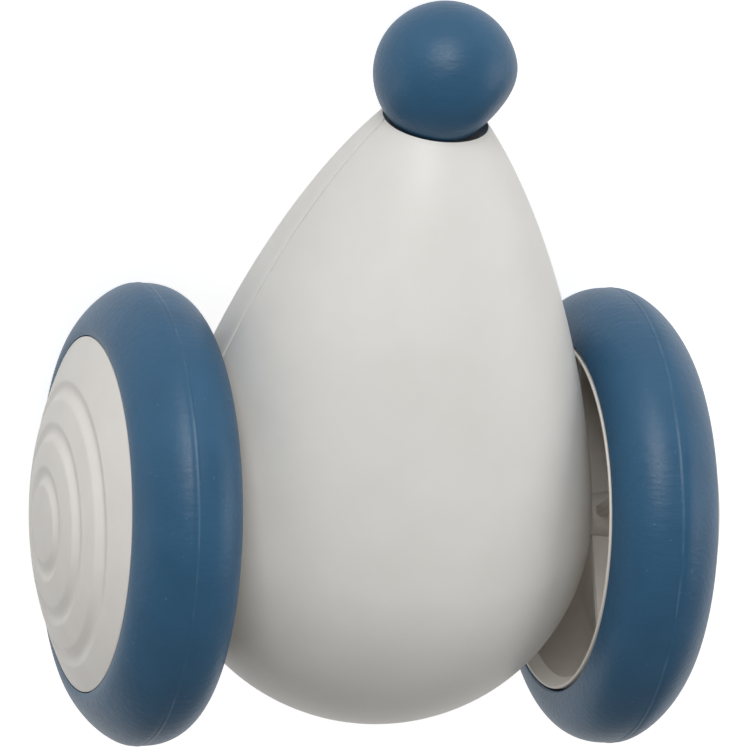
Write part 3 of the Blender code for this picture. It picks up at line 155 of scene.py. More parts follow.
def join_or_cut(piece, tools, operation="DIFFERENCE"):
    """Cuts the tools from a piece, or joins them to it, and throws the tools away."""
    for tool in tools:
        pick(piece)
        bpy.ops.object.modifier_add(type="BOOLEAN")
        modifier = piece.modifiers[-1]
        modifier.operation = operation
        modifier.solver = "EXACT"
        modifier.object = tool
        bpy.ops.object.modifier_apply(modifier=modifier.name)
        bpy.data.objects.remove(tool, do_unlink=True)


def apply_place(piece, matrix):
    piece.matrix_world = matrix @ piece.matrix_world
    pick(piece)
    bpy.ops.object.transform_apply(location=True, rotation=True, scale=True)


def hand_over(piece, body, stands_for, finish, degrees=SMOOTH_UP_TO):
    """The last step of a piece: its shading, its finish, the body that carries it and the node that it stands for."""
    pick(piece)
    bpy.ops.object.shade_smooth_by_angle(angle=math.radians(degrees))
    piece.data.materials.clear()
    piece.data.materials.append(finish)
    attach(piece, body)
    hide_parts(stands_for)
    print(piece.name, "has", len(piece.data.polygons), "faces")


ALONG_Y = Matrix.Rotation(math.radians(-90), 4, "X")


def along_x(side):
    """Lays a piece that was turned about Z along the axle, pointing outwards on its side."""
    return Matrix.Rotation(math.radians(90 * side), 4, "Y")


# %% [markdown]
# ## Finishes
#
# Moulded plastic is never one flat colour. Seen closely it has a faint cloudiness, a fine sparked texture from the
# mould and a roughness that wanders a little, and those three together make light slide over it softly. One helper
# builds that recipe, and each finish below sets its own scale and strength. All patterns read Object coordinates,
# so they stay on the piece when it moves.

# %% The recipe for a moulded finish
NOISE_LOW = 0.3
NOISE_HIGH = 0.7
MIX_FACTOR = 0
MIX_FIRST = 6
MIX_SECOND = 7
MIX_COLOUR_OUT = 2


def srgb(red, green, blue):
    """Turns a colour as a paint program writes it, 0 to 255, into the linear colour that shaders use."""
    shares = [value / 255 for value in (red, green, blue)]
    return [share / 12.92 if share <= 0.04045 else ((share + 0.055) / 1.055) ** 2.4 for share in shares] + [1.0]


def new_finish(name):
    material = bpy.data.materials.new(name)
    material.use_nodes = True
    nodes = material.node_tree.nodes
    return material, nodes, material.node_tree.links, nodes["Principled BSDF"]


def noise(nodes, links, vector, size, detail=2.0):
    """A noise whose features are about size metres wide."""
    texture = nodes.new("ShaderNodeTexNoise")
    texture.inputs["Scale"].default_value = 1 / size
    texture.inputs["Detail"].default_value = detail
    links.new(vector, texture.inputs["Vector"])
    return texture.outputs["Fac"]


def ranged(nodes, links, factor, start, end, low, high):
    """Maps what lies between start and end to the range from low to high."""
    ramp = nodes.new("ShaderNodeMapRange")
    ramp.inputs["From Min"].default_value = start
    ramp.inputs["From Max"].default_value = end
    ramp.inputs["To Min"].default_value = low
    ramp.inputs["To Max"].default_value = high
    links.new(factor, ramp.inputs["Value"])
    return ramp.outputs["Result"]


def between(nodes, links, factor, low, high):
    """Maps a noise, which stays near its middle, to a range of values."""
    return ranged(nodes, links, factor, NOISE_LOW, NOISE_HIGH, low, high)


def two_tone(nodes, links, factor, first, second):
    mix = nodes.new("ShaderNodeMix")
    mix.data_type = "RGBA"
    mix.inputs[MIX_FIRST].default_value = first
    mix.inputs[MIX_SECOND].default_value = second
    links.new(between(nodes, links, factor, 0.0, 1.0), mix.inputs[MIX_FACTOR])
    return mix.outputs[MIX_COLOUR_OUT]


def raised_by(nodes, links, factor, height):
    """Lets a pattern stand up by a height in metres, without a change to the mesh."""
    bump = nodes.new("ShaderNodeBump")
    bump.inputs["Distance"].default_value = height
    bump.inputs["Strength"].default_value = 1.0
    links.new(factor, bump.inputs["Height"])
    return bump


def moulded(name, first, second, cloud, grain, rough, height, metallic=0.0):
    """first and second are the colours that the cloudiness wanders between; cloud and grain are sizes in metres;
    rough is the lowest and highest roughness; height is how far the grain stands up, in metres."""
    material, nodes, links, shader = new_finish(name)
    place = nodes.new("ShaderNodeTexCoord").outputs["Object"]
    clouds = noise(nodes, links, place, cloud, 4.0)
    links.new(two_tone(nodes, links, clouds, first, second), shader.inputs["Base Color"])
    fine = noise(nodes, links, place, grain, 3.0)
    links.new(between(nodes, links, fine, *rough), shader.inputs["Roughness"])
    links.new(raised_by(nodes, links, fine, height).outputs["Normal"], shader.inputs["Normal"])
    shader.inputs["Metallic"].default_value = metallic
    return material


# %% [markdown]
# ## The shells' and wheels' own finishes
#
# The shells are a warm light grey plastic with a satin surface. The hubcaps are a shade whiter. The rims' white is
# their own, but their slight warmth is painted bounce light: the warm light that the floor throws into their shaded
# dish. The tyres and the nose are a slate blue rubber: matte, with a soft broad sheen. The shells and the rubber
# reflect a little less than Blender's default, which their specular level says.

# %% Finishes that show from outside
SHELL_GREY = moulded(
    "shell_grey", srgb(226, 225, 222), srgb(221, 220, 216), 9 * MM, 0.35 * MM, (0.40, 0.50), 0.004 * MM
)
CAP_WHITE = moulded(
    "cap_white", srgb(231, 229, 225), srgb(226, 223, 219), 6 * MM, 0.30 * MM, (0.42, 0.52), 0.004 * MM
)
# The rims' white is their own; its slight warmth over the hubcaps' white is painted bounce light from the floor.
RIM_WHITE_PAINTED_BOUNCE = moulded(
    "rim_white_painted_bounce", srgb(230, 225, 218), srgb(224, 218, 210), 5 * MM, 0.30 * MM, (0.40, 0.50), 0.004 * MM
)
RUBBER_BLUE = moulded(
    "rubber_blue", srgb(42, 88, 121), srgb(38, 82, 114), 6 * MM, 0.22 * MM, (0.36, 0.50), 0.010 * MM
)
for material, level in ((SHELL_GREY, 0.45), (RUBBER_BLUE, 0.38)):
    material.node_tree.nodes["Principled BSDF"].inputs["Specular IOR Level"].default_value = level
    print(material.name, "has specular level", level)

# %% [markdown]
# ### Wrinkles in the rubber
#
# Soft rubber keeps fine wrinkles from its mould, and here they run along the axles. They are a noise that a Mapping
# node stretches along X. A second Bump node lays them over the grain: it takes the normal that the first one made,
# and hands its own to the shader.

# %% Wrinkles along the axles
WRINKLE_WIDTH = 0.7 * MM
WRINKLE_STRETCH = 4.0
WRINKLE_HEIGHT = 0.06 * MM


def stretched(nodes, links, scale):
    """Object coordinates, scaled differently along each axis."""
    place = nodes.new("ShaderNodeTexCoord")
    mapping = nodes.new("ShaderNodeMapping")
    mapping.inputs["Scale"].default_value = scale
    links.new(place.outputs["Object"], mapping.inputs["Vector"])
    return mapping.outputs["Vector"]


nodes, links = RUBBER_BLUE.node_tree.nodes, RUBBER_BLUE.node_tree.links
wrinkles = noise(nodes, links, stretched(nodes, links, (1 / WRINKLE_STRETCH, 1, 1)), WRINKLE_WIDTH, 3.0)
laid_over = raised_by(nodes, links, wrinkles, WRINKLE_HEIGHT)
normal = nodes["Principled BSDF"].inputs["Normal"]
links.new(normal.links[0].from_socket, laid_over.inputs["Normal"])
links.new(laid_over.outputs["Normal"], normal)
print("the wrinkles are", round(WRINKLE_WIDTH * WRINKLE_STRETCH / MM, 1), "mm long")

# %% [markdown]
# ### Specks and the tread's parting line
#
# Soft rubber picks up dust, and its skin has small pale pits. Where a noise peaks, which is rare, the colour turns
# paler. The tyres' parting line is rubbed a little paler too. It lies at one distance from the toy's middle, so the
# X of the Object coordinates finds it on both wheels, however they have turned.

# %% Paler specks and a paler parting line
PARTING_AT = 31.75 * MM
PALE_BLUE = srgb(118, 148, 172)
SPECK_SIZE = 0.6 * MM
SPECK_PEAKS = (0.74, 0.80)
SPECK_PALENESS = 0.20
LINE_EDGES = (0.16 * MM, 0.05 * MM)
WORN_PATCH = 5 * MM
WORN_PEAKS = (0.42, 0.60)
WORN_PALENESS = 0.20


def paler_where(factor):
    """Mixes the pale blue into the rubber's colour by a factor from 0 to 1."""
    colour = nodes["Principled BSDF"].inputs["Base Color"]
    mix = nodes.new("ShaderNodeMix")
    mix.data_type = "RGBA"
    mix.inputs[MIX_SECOND].default_value = PALE_BLUE
    links.new(factor, mix.inputs[MIX_FACTOR])
    links.new(colour.links[0].from_socket, mix.inputs[MIX_FIRST])
    links.new(mix.outputs[MIX_COLOUR_OUT], colour)


def maths(operation, first, second=None):
    """One Math node on a socket, and on a second socket or a number."""
    node = nodes.new("ShaderNodeMath")
    node.operation = operation
    links.new(first, node.inputs[0])
    if isinstance(second, float):
        node.inputs[1].default_value = second
    elif second:
        links.new(second, node.inputs[1])
    return node.outputs["Value"]


place = nodes.new("ShaderNodeTexCoord").outputs["Object"]
specks = noise(nodes, links, place, SPECK_SIZE, 1.0)
paler_where(ranged(nodes, links, specks, *SPECK_PEAKS, 0.0, SPECK_PALENESS))
split = nodes.new("ShaderNodeSeparateXYZ")
links.new(place, split.inputs["Vector"])
from_middle = maths("ABSOLUTE", split.outputs["X"])
from_line = maths("ABSOLUTE", maths("SUBTRACT", from_middle, PARTING_AT))
on_line = ranged(nodes, links, from_line, *LINE_EDGES, 0.0, 1.0)
worn = ranged(nodes, links, noise(nodes, links, place, WORN_PATCH), *WORN_PEAKS, 0.0, WORN_PALENESS)
paler_where(maths("MULTIPLY", on_line, worn))
print(RUBBER_BLUE.name, "has", len(nodes), "nodes")

# %% [markdown]
# ## Finishes of the works inside
#
# The inner pieces only show through the socket's opening and the screw holes, but each still gets what its real
# material has: streaks along turned steel, a fine grain in the lacquered board, creases in the battery's foil.

# %% Finishes of the inner pieces
GEAR_WHITE = moulded("gear_white", srgb(238, 236, 228), srgb(230, 227, 217), 4 * MM, 0.5 * MM, (0.32, 0.42), 0.003 * MM)
FRAME_DARK = moulded("frame_dark", srgb(62, 64, 68), srgb(52, 54, 58), 5 * MM, 0.4 * MM, (0.45, 0.60), 0.008 * MM)
BLACK_MOULDED = moulded("black_moulded", srgb(30, 30, 32), srgb(22, 22, 24), 2 * MM, 0.3 * MM, (0.40, 0.55), 0.006 * MM)
FOIL = moulded("pouch_foil", srgb(176, 180, 188), srgb(150, 155, 165), 3 * MM, 1.2 * MM, (0.25, 0.45), 0.05 * MM, 0.9)
BOARD_GREEN = moulded("board_green", srgb(24, 92, 58), srgb(18, 78, 48), 2 * MM, 0.25 * MM, (0.25, 0.38), 0.006 * MM)
RED_LEAD = moulded("red_lead", srgb(178, 36, 30), srgb(160, 28, 24), 1 * MM, 0.2 * MM, (0.35, 0.45), 0.003 * MM)
CLEAR_PIPE = moulded("clear_pipe", srgb(226, 232, 236), srgb(216, 224, 230), 1 * MM, 0.2 * MM, (0.08, 0.16), 0.002 * MM)
CLEAR_PIPE.node_tree.nodes["Principled BSDF"].inputs["Transmission Weight"].default_value = 0.7
RING_STRETCH = 0.1


def turned_metal(name, first, second, ring, rough):
    """Metal with fine rings round the axles, as a lathe leaves them; ring is their size in metres."""
    material = moulded(name, first, second, 2 * MM, 0.3 * MM, rough, 0.004 * MM, 1.0)
    nodes, links = material.node_tree.nodes, material.node_tree.links
    rings = noise(nodes, links, stretched(nodes, links, (1, RING_STRETCH, RING_STRETCH)), ring)
    links.new(between(nodes, links, rings, *rough), nodes["Principled BSDF"].inputs["Roughness"])
    return material


STEEL = turned_metal("bright_steel", srgb(196, 197, 200), srgb(180, 181, 185), 0.05 * MM, (0.18, 0.36))
MOTOR_CAN = turned_metal("motor_can", srgb(202, 201, 196), srgb(188, 187, 183), 0.2 * MM, (0.25, 0.42))
BRASS = turned_metal("turned_brass", srgb(214, 186, 118), srgb(198, 168, 100), 0.05 * MM, (0.2, 0.38))

# %% [markdown]
# ### A finish for every node
#
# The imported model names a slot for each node, such as steel or board. One table says which finish a slot has, and
# every node gets it. The nodes that we replace below lose it again with their own mesh.

# %% Giving the nodes their finish
slot_finishes = {
    "shell": SHELL_GREY,
    "soft_blue": RUBBER_BLUE,
    "white": RIM_WHITE_PAINTED_BOUNCE,
    "gear": GEAR_WHITE,
    "frame": FRAME_DARK,
    "steel": STEEL,
    "motor_can": MOTOR_CAN,
    "brass": BRASS,
    "foil": FOIL,
    "board": BOARD_GREEN,
    "black": BLACK_MOULDED,
    "clear": CLEAR_PIPE,
    "red_lead": RED_LEAD,
}
slot_of = {subpart["node"]: subpart["material_slot"] for subpart in frame["record"]["subparts"]}
for node_name, node in frame["nodes"].items():
    for material_slot in node.material_slots:
        material_slot.material = slot_finishes[slot_of[node_name]]
print(len(frame["nodes"]), "nodes have their finish")

# %% [markdown]
# ## The egg
#
# The body's outline is half an ellipse behind its widest place and one long curve in front of it, which ends in a
# narrow rim round the nose. The shell is one wall thick, and the rim rolls over into a round seat that follows the
# ball. We draw the whole cross-section as one closed outline, turn it, and saw the turned egg in two.

# %% The egg's cross-section
EGG_RADIUS = 27.9 * MM
EGG_WIDEST = 0.9 * MM
EGG_REAR = 27.6 * MM
EGG_FRONT = 54.9 * MM
EGG_RIM = 6.8 * MM
EGG_SIDE_HANDLE = 8.9 * MM
EGG_NOSE_HANDLE = (16.3 * MM, 13.1 * MM)
EGG_WALL = 1.8 * MM
OUTER_STEPS = (44, 96)
INNER_STEPS = (24, 44)


def egg_outline(inset, rear_steps, front_steps):
    """The outline as (along, radius) points, from the tail to the rim, drawn in by inset."""
    points = []
    for i in range(rear_steps):
        angle = math.pi / 2 * i / rear_steps
        along = EGG_WIDEST - (EGG_REAR - inset) * math.cos(angle)
        points.append((along, (EGG_RADIUS - inset) * math.sin(angle)))
    rim_at = EGG_WIDEST + EGG_FRONT
    handles = (
        (EGG_WIDEST, EGG_RADIUS - inset),
        (EGG_WIDEST + EGG_SIDE_HANDLE, EGG_RADIUS - inset),
        (rim_at - EGG_NOSE_HANDLE[0], EGG_RIM + EGG_NOSE_HANDLE[1] - inset),
        (rim_at, EGG_RIM - inset),
    )
    for i in range(front_steps + 1):
        t = i / front_steps
        weights = ((1 - t) ** 3, 3 * t * (1 - t) ** 2, 3 * t * t * (1 - t), t**3)
        points.append(tuple(sum(w * handle[k] for w, handle in zip(weights, handles)) for k in (0, 1)))
    return points


outer = egg_outline(0, *OUTER_STEPS)
rim_along, rim_radius = outer[-1]
print("the outer outline has", len(outer), "points and ends", round(rim_along / MM, 1), "mm from the axles")

# %% [markdown]
# ### The rim's roll and the ball's seat
#
# Behind the rim the shell follows the ball at a small distance, down to the hole for the nose's stem. Two points
# between the rim and the seat round the edge that shows.

# %% Closing the cross-section
BALL_RADIUS = 9.1 * MM
BALL_AT = 62.3 * MM
BALL_GAP = 0.4 * MM
STEM_HOLE = 3.3 * MM
SEAT_END = 50.5 * MM
SEAT_STEPS = 10
RIM_WIDTH = 0.6 * MM
ROLL_FORWARD = 0.10 * MM
ROLL_INWARD = 0.12 * MM

seat = BALL_RADIUS + BALL_GAP
seat_angles = np.linspace(math.asin((EGG_RIM - RIM_WIDTH) / seat), math.asin(STEM_HOLE / seat), SEAT_STEPS)
seat_points = [(BALL_AT - seat * math.cos(angle), seat * math.sin(angle)) for angle in seat_angles]
seat_along, seat_radius = seat_points[0]
rolled_rim = [
    (rim_along + ROLL_FORWARD, rim_radius - ROLL_INWARD),
    ((rim_along + seat_along) / 2 + ROLL_FORWARD, (rim_radius + seat_radius) / 2),
]
inner = [point for point in egg_outline(EGG_WALL, *INNER_STEPS) if point[0] < SEAT_END]
cross_section = outer + rolled_rim + seat_points + [(SEAT_END, STEM_HOLE)] + inner[::-1]
print("the cross-section has", len(cross_section), "points")

# %% [markdown]
# ## Sawing the egg in two
#
# The parting line runs level through the egg's middle. At the tail the turned egg has a fan of thin triangles, and a
# cut across such a fan comes out ragged, so each fan is first dissolved into one flat face. Bisect with fill then
# saws a copy for each half and closes the cut, and the half is drawn back from the middle by half of the gap.
#
# A tiny rounding of the cut's outer edge gives the line its bright lip, which is what makes a seam read as two
# mouldings that meet and not as a drawn line. A bevel would run into the very short edges round the tail, so three
# thin cuts beside the edge give it vertices, and those are pressed in along a quarter of a circle.

# %% Two halves with a rounded seam
EGG_STEPS = 180
SEAM_GAP = 0.3 * MM
SEAM_LIP = 0.26 * MM
LIP_TURNS = (0, 30, 60)
LIP_SHORT_OF_RIM = 0.5 * MM
SURFACE_DEPTH = 0.2 * MM
outline_along = [point[0] for point in outer]
outline_radius = [point[1] for point in outer]


def is_outside(place):
    """Whether a point of the upright egg lies on its outer surface, short of the rim round the nose."""
    radius = math.hypot(place.x, place.z)
    on_surface = radius > np.interp(place.y, outline_along, outline_radius) - SURFACE_DEPTH
    return on_surface and place.y < rim_along - LIP_SHORT_OF_RIM


def flatten_tail(egg):
    """Dissolves each vertex on the egg's axis, which makes one flat face of the fan round it."""
    edit(egg, "DESELECT")
    mesh = bmesh.from_edit_mesh(egg.data)
    for vert in mesh.verts:
        vert.select_set(math.hypot(vert.co.x, vert.co.z) < CLOSE)
    bmesh.update_edit_mesh(egg.data)
    bpy.ops.mesh.dissolve_verts()


def cut_level(height, **closing):
    """Cuts what is in edit mode along a level plane."""
    bpy.ops.mesh.select_all(action="SELECT")
    bpy.ops.mesh.bisect(plane_co=(0, 0, height), plane_no=(0, 0, 1), threshold=EXACT, **closing)


def round_lip(egg, height, way):
    """Rounds the outer edge of the cut at a height; way is 1 where the egg lies above it."""
    for turned in LIP_TURNS:
        cut_level(height + way * SEAM_LIP * (1 - math.sin(math.radians(turned))))
    mesh = bmesh.from_edit_mesh(egg.data)
    for vert in mesh.verts:
        near = 1 - abs(vert.co.z - height) / SEAM_LIP
        if near > 0 and is_outside(vert.co):
            outwards = Vector((vert.normal.x, vert.normal.y, 0)).normalized()
            vert.co -= outwards * SEAM_LIP * (1 - math.sqrt(1 - near * near))
    bmesh.update_edit_mesh(egg.data)


def half_egg(name, upper):
    egg = turn(name, cross_section, EGG_STEPS)
    apply_place(egg, ALONG_Y)
    flatten_tail(egg)
    cut_level(0, use_fill=True, clear_inner=upper, clear_outer=not upper)
    way = 1 if upper else -1
    height = way * SEAM_GAP / 2
    squeeze = Matrix.Diagonal((1, 1, 1 - SEAM_GAP / 2 / EGG_RADIUS, 1))
    apply_place(egg, Matrix.Translation((0, 0, height)) @ squeeze)
    edit(egg)
    bpy.ops.mesh.normals_make_consistent(inside=False)
    round_lip(egg, height, way)
    bpy.ops.object.mode_set(mode="OBJECT")
    print(name, "has", len(egg.data.vertices), "vertices")
    return egg


top = half_egg("upper_shell", True)
belly = half_egg("belly_shell", False)

# %% [markdown]
# ## Openings in the shells
#
# The axles leave through the seam, half a hole in each shell. The belly has the power button's hole, the status
# light's, four deep screw holes and the charging socket's slot. Each is cut with a turned or drawn-out tool.

# %% Drills and a slot
ROUND_STEPS = 48
SLOT_STEPS = 16
BEYOND = 1.2 * EGG_RADIUS


def drill(radius, low, high, x=0.0, y=0.0):
    """An upright drill for a round hole."""
    bit = turn("drill", [(low, 0), (low, radius), (high, radius), (high, 0)], ROUND_STEPS)
    apply_place(bit, Matrix.Translation((x, y, 0)))
    return bit


def axle_drill(radius):
    bit = drill(radius, -BEYOND, BEYOND)
    apply_place(bit, along_x(1))
    return bit


def slot_outline(width, height):
    """A slot with round ends, as (x, y) points."""
    points = []
    for way in (1, -1):
        for i in range(SLOT_STEPS + 1):
            angle = math.pi * i / SLOT_STEPS - math.pi / 2 + (0 if way > 0 else math.pi)
            points.append((way * (width - height) / 2 + height / 2 * math.cos(angle), height / 2 * math.sin(angle)))
    return points


# %% Cutting the openings
AXLE_HOLE = 2.1 * MM
BUTTON_HOLE = 3.8 * MM
LIGHT_HOLE = 1.5 * MM
LIGHT_AT = (6.8 * MM, -8.785 * MM)
SCREW_HOLE = 2.0 * MM
SCREWS_AT = [(x * MM, y * MM) for x, y in ((-15, -14.7), (15, -14.7), (-9, 33), (9, 33))]
SOCKET_SIZE = (9.0 * MM, 3.2 * MM)
SOCKET_GAP = 0.3 * MM
SOCKET_HEIGHT = -8.0 * MM
SOCKET_CUT = (12 * MM, 30 * MM)

join_or_cut(top, [axle_drill(AXLE_HOLE)])
belly_tools = [axle_drill(AXLE_HOLE), drill(BUTTON_HOLE, -BEYOND, -EGG_RADIUS / 2, 0, EGG_WIDEST)]
belly_tools.append(drill(LIGHT_HOLE, -BEYOND, -EGG_RADIUS / 2, *LIGHT_AT))
for screw_at in SCREWS_AT:
    belly_tools.append(drill(SCREW_HOLE, -BEYOND, -EGG_RADIUS / 4, *screw_at))
socket_tool = drawn_out("socket_tool", slot_outline(*[size + 2 * SOCKET_GAP for size in SOCKET_SIZE]), *SOCKET_CUT)
apply_place(socket_tool, Matrix.Translation((0, 0, SOCKET_HEIGHT)) @ Matrix.Rotation(math.radians(90), 4, "X"))
belly_tools.append(socket_tool)
join_or_cut(belly, belly_tools)

# %% [markdown]
# ### Shading the shells
#
# The lip's three facets meet at about thirty degrees, so the shells are smoothed up to a slightly larger angle than
# the other pieces. Their cut faces and the edges of the holes stay sharp.

# %% Handing the shells over
SHELL_SMOOTH_UP_TO = 35
for shell, node_name in ((top, "top_shell"), (belly, "bottom_shell")):
    apply_place(shell, TOY)
    hand_over(shell, "body", node_name, SHELL_GREY, SHELL_SMOOTH_UP_TO)

# %% [markdown]
# ## The nose
#
# A plain rubber ball with a hole for its stem. It is soft, and its skin is pressed a little flat on one side, so the
# vertices near that direction are pressed in along a smooth curve, most in the middle and less towards the edge.
# The ball also sits a little to one side of the egg's axis.

# %% The nose ball
STEM_HOLE_FLOOR = 3.5 * MM
BALL_STEPS = 120
BALL_OUTLINE_STEPS = 90
PRESSED_WAY = Vector((0.683, -0.534, 0.498))
PRESSED_DEPTH = 1.05 * MM
PRESSED_FROM = 0.56
NOSE_ASIDE = 0.35 * MM

ball_outline = [(-STEM_HOLE_FLOOR, 0), (-STEM_HOLE_FLOOR, STEM_HOLE)]
for angle in np.linspace(math.asin(STEM_HOLE / BALL_RADIUS), math.pi, BALL_OUTLINE_STEPS):
    ball_outline.append((-BALL_RADIUS * math.cos(angle), BALL_RADIUS * math.sin(angle)))
nose = turn("nose_rubber", ball_outline, BALL_STEPS)
apply_place(nose, ALONG_Y)
for vert in nose.data.vertices:
    reach = vert.co.normalized().dot(PRESSED_WAY)
    if reach > PRESSED_FROM and vert.co.length > BALL_RADIUS - CLOSE:
        share = (reach - PRESSED_FROM) / (1 - PRESSED_FROM)
        vert.co -= PRESSED_WAY * PRESSED_DEPTH * share * share
apply_place(nose, TOY @ Matrix.Translation((NOSE_ASIDE, BALL_AT, 0)))
hand_over(nose, "body", "nose_ball", RUBBER_BLUE)

# %% [markdown]
# ## Tyres
#
# The tyre's section is fuller on its inner side and leaner on its outer side, so each side is a part of a
# superellipse, a curve between an ellipse and a rectangle. A side is given by its half width, how far it falls below
# the tread, the curve's power, and the degrees of the curve that are used. The outer side rolls in towards the
# hubcap's edge, so that the two meet flush. The tread's parting line is a thin raised thread of rubber.

# %% One tyre's section
TYRE_AT = PARTING_AT
LAND_HALF = 0.6 * MM
SIDE_FALL = 7.1 * MM
OUTER_SIDE = (7.25 * MM, SIDE_FALL, 1.52, 78)
INNER_SIDE = (7.3 * MM, SIDE_FALL, 2.2, 86)
TYRE_SIDE_STEPS = 30
RIM_RADIUS = 22.5 * MM
FIT_GAP = 0.3 * MM
CAP_RADIUS = 22.65 * MM
CAP_GAP = 0.1 * MM
ROLL_FROM = 25.2 * MM
ROLL_DEPTH = 0.4 * MM
PARTING_HEIGHT = 0.07 * MM
PARTING_HALF = 0.15 * MM
PARTING_STEPS = 9
bore = RIM_RADIUS + FIT_GAP
cap_bore = CAP_RADIUS + CAP_GAP


def rolled_in(x, radius):
    """Rolls the tyre's outer side in towards the hubcap's edge."""
    share = max(0.0, ROLL_FROM - radius) / (ROLL_FROM - cap_bore)
    return x - ROLL_DEPTH * share * share


def tyre_side(half, fall, power, arc, way):
    """One side as (along, radius) points from the tread down; way is 1 for the outer side."""
    points = []
    for i in range(TYRE_SIDE_STEPS + 1):
        angle = math.radians(arc) * i / TYRE_SIDE_STEPS
        x = LAND_HALF + (half - LAND_HALF) * math.sin(angle) ** (2 / power)
        radius = WHEEL_RADIUS - fall * (1 - math.cos(angle) ** (2 / power))
        points.append((TYRE_AT + (rolled_in(x, radius) if way > 0 else -x), radius))
    return points


def parting(distance):
    """How far the parting line stands up, at a distance from its middle."""
    return PARTING_HEIGHT * math.exp(-((distance / PARTING_HALF) ** 2))


thread = np.linspace(-3 * PARTING_HALF, 3 * PARTING_HALF, PARTING_STEPS)
tread = [(TYRE_AT + x, WHEEL_RADIUS + parting(x)) for x in thread]
outside_of_tyre = tyre_side(*INNER_SIDE, -1)[::-1] + tread + tyre_side(*OUTER_SIDE, 1)
print("the tyre's outside has", len(outside_of_tyre), "points")

# %% [markdown]
# ### The tyre's bore
#
# Inside, the tyre lies round the rim with a small gap, and round the hubcap's edge with a smaller one. Both tyres are
# turned from the same outline, each pointing outwards on its own side.

# %% Turning both tyres
CAP_AT = TYRE_AT + 5.65 * MM
CAP_EDGE = 1.1 * MM
LIP_PROUD = 7.4 * MM
BORE_SHORT_OF_LIP = 0.3 * MM
TYRE_STEPS = 192
lip_at = TYRE_AT - LIP_PROUD
tyre_outline = outside_of_tyre + [
    (CAP_AT + CAP_EDGE, cap_bore),
    (CAP_AT, cap_bore),
    (CAP_AT, bore),
    (lip_at + BORE_SHORT_OF_LIP, bore),
]
for side_name, side in SIDES:
    tyre = turn(f"{side_name}_tyre_rubber", tyre_outline, TYRE_STEPS)
    apply_place(tyre, TOY @ along_x(side))
    hand_over(tyre, f"{side_name}_wheel", f"{side_name}_tyre", RUBBER_BLUE)

# %% [markdown]
# ## Rims
#
# Seen from the egg, the rim is a deep dish: a barrel, a disc near its outer end, a slim hub for the axle and four
# ribs. Where the barrel ends, it flares open to a thin lip, which shows as a narrow pale line against the tyre and
# as a broader band where one looks down on it. The dish's inside corners have fillets, as a moulding needs.

# %% The rim's section
HUB_AT = 28.6 * MM
HUB_LENGTH = 7.6 * MM
HUB_RADIUS = 2.8 * MM
HUB_ROOT = 3.3 * MM
HUB_ROUND = 0.3 * MM
AXLE_BORE = 1.8 * MM
BARREL = 1.8 * MM
LIP_ROUND = 0.2 * MM
LIP_FACE = 0.45 * MM
FLARE_DEEP = 1.5 * MM
FLARE_RADIUS = 21.0 * MM
FLARE_END = 232
DISC = 1.4 * MM
DISC_INSET = 1.5 * MM
DISH_ROOT = 1.0 * MM
RIM_END = TYRE_AT + 5.35 * MM
FILLET_STEPS = 6


def fillet(corner, radius, start, end):
    """Points round an inside or outside corner: start and end are angles in degrees about the fillet's centre."""
    points = []
    for i in range(FILLET_STEPS + 1):
        angle = math.radians(start + (end - start) * i / FILLET_STEPS)
        points.append((corner[0] + radius * math.cos(angle), corner[1] + radius * math.sin(angle)))
    return points


barrel = RIM_RADIUS - BARREL
disc_out = RIM_END - DISC_INSET
disc_in = disc_out - DISC
rim_outline = [(HUB_AT, AXLE_BORE)]
rim_outline += fillet((HUB_AT + HUB_ROUND, HUB_RADIUS - HUB_ROUND), HUB_ROUND, 180, 90)
rim_outline += fillet((disc_in - DISH_ROOT, HUB_ROOT + DISH_ROOT), DISH_ROOT, -90, 0)
rim_outline += fillet((disc_in - DISH_ROOT, barrel - DISH_ROOT), DISH_ROOT, 0, 90)
rim_outline.append((lip_at + FLARE_DEEP, FLARE_RADIUS))
rim_outline += fillet((lip_at + LIP_ROUND, RIM_RADIUS - LIP_FACE + LIP_ROUND), LIP_ROUND, FLARE_END, 180)
rim_outline += fillet((lip_at + LIP_ROUND, RIM_RADIUS - LIP_ROUND), LIP_ROUND, 180, 90)
rim_outline += [
    (RIM_END, RIM_RADIUS),
    (RIM_END, barrel),
    (disc_out, barrel),
    (disc_out, HUB_ROOT),
    (HUB_AT + HUB_LENGTH, HUB_RADIUS),
    (HUB_AT + HUB_LENGTH, AXLE_BORE),
]
print("the rim's outline has", len(rim_outline), "points")

# %% [markdown]
# ### Ribs
#
# A rib is one bevelled plate that stands on the disc from the hub to the barrel, and it reaches a little way into
# both, so that the boolean that joins it leaves no gap.

# %% Ribs and both rims
RIB_ANGLES = [140 + 90 * i for i in range(4)]
RIB_THICKNESS = 1.2 * MM
RIB_AT = 29.2 * MM
RIB_EDGE = 0.25 * MM
RIM_STEPS = 144


def rib(turned, side):
    start, end = HUB_RADIUS - RIB_THICKNESS / 2, RIM_RADIUS - BARREL / 2
    foot = disc_in + DISC / 2
    plate = [(start, RIB_AT), (end, RIB_AT), (end, foot), (start, foot)]
    piece = drawn_out("rib", plate, -RIB_THICKNESS / 2, RIB_THICKNESS / 2)
    pick(piece)
    bpy.ops.object.modifier_add(type="BEVEL")
    piece.modifiers[-1].width = RIB_EDGE
    piece.modifiers[-1].segments = 2
    bpy.ops.object.modifier_apply(modifier=piece.modifiers[-1].name)
    stand_up = Matrix.Rotation(math.radians(90), 4, "X")
    apply_place(piece, Matrix.Rotation(math.radians(90 + side * turned), 4, "Z") @ stand_up)
    return piece


for side_name, side in SIDES:
    rim = turn(f"{side_name}_rim_dish", rim_outline, RIM_STEPS)
    join_or_cut(rim, [rib(turned, side) for turned in RIB_ANGLES], "UNION")
    apply_place(rim, TOY @ along_x(side))
    hand_over(rim, f"{side_name}_wheel", f"{side_name}_rim", RIM_WHITE_PAINTED_BOUNCE)

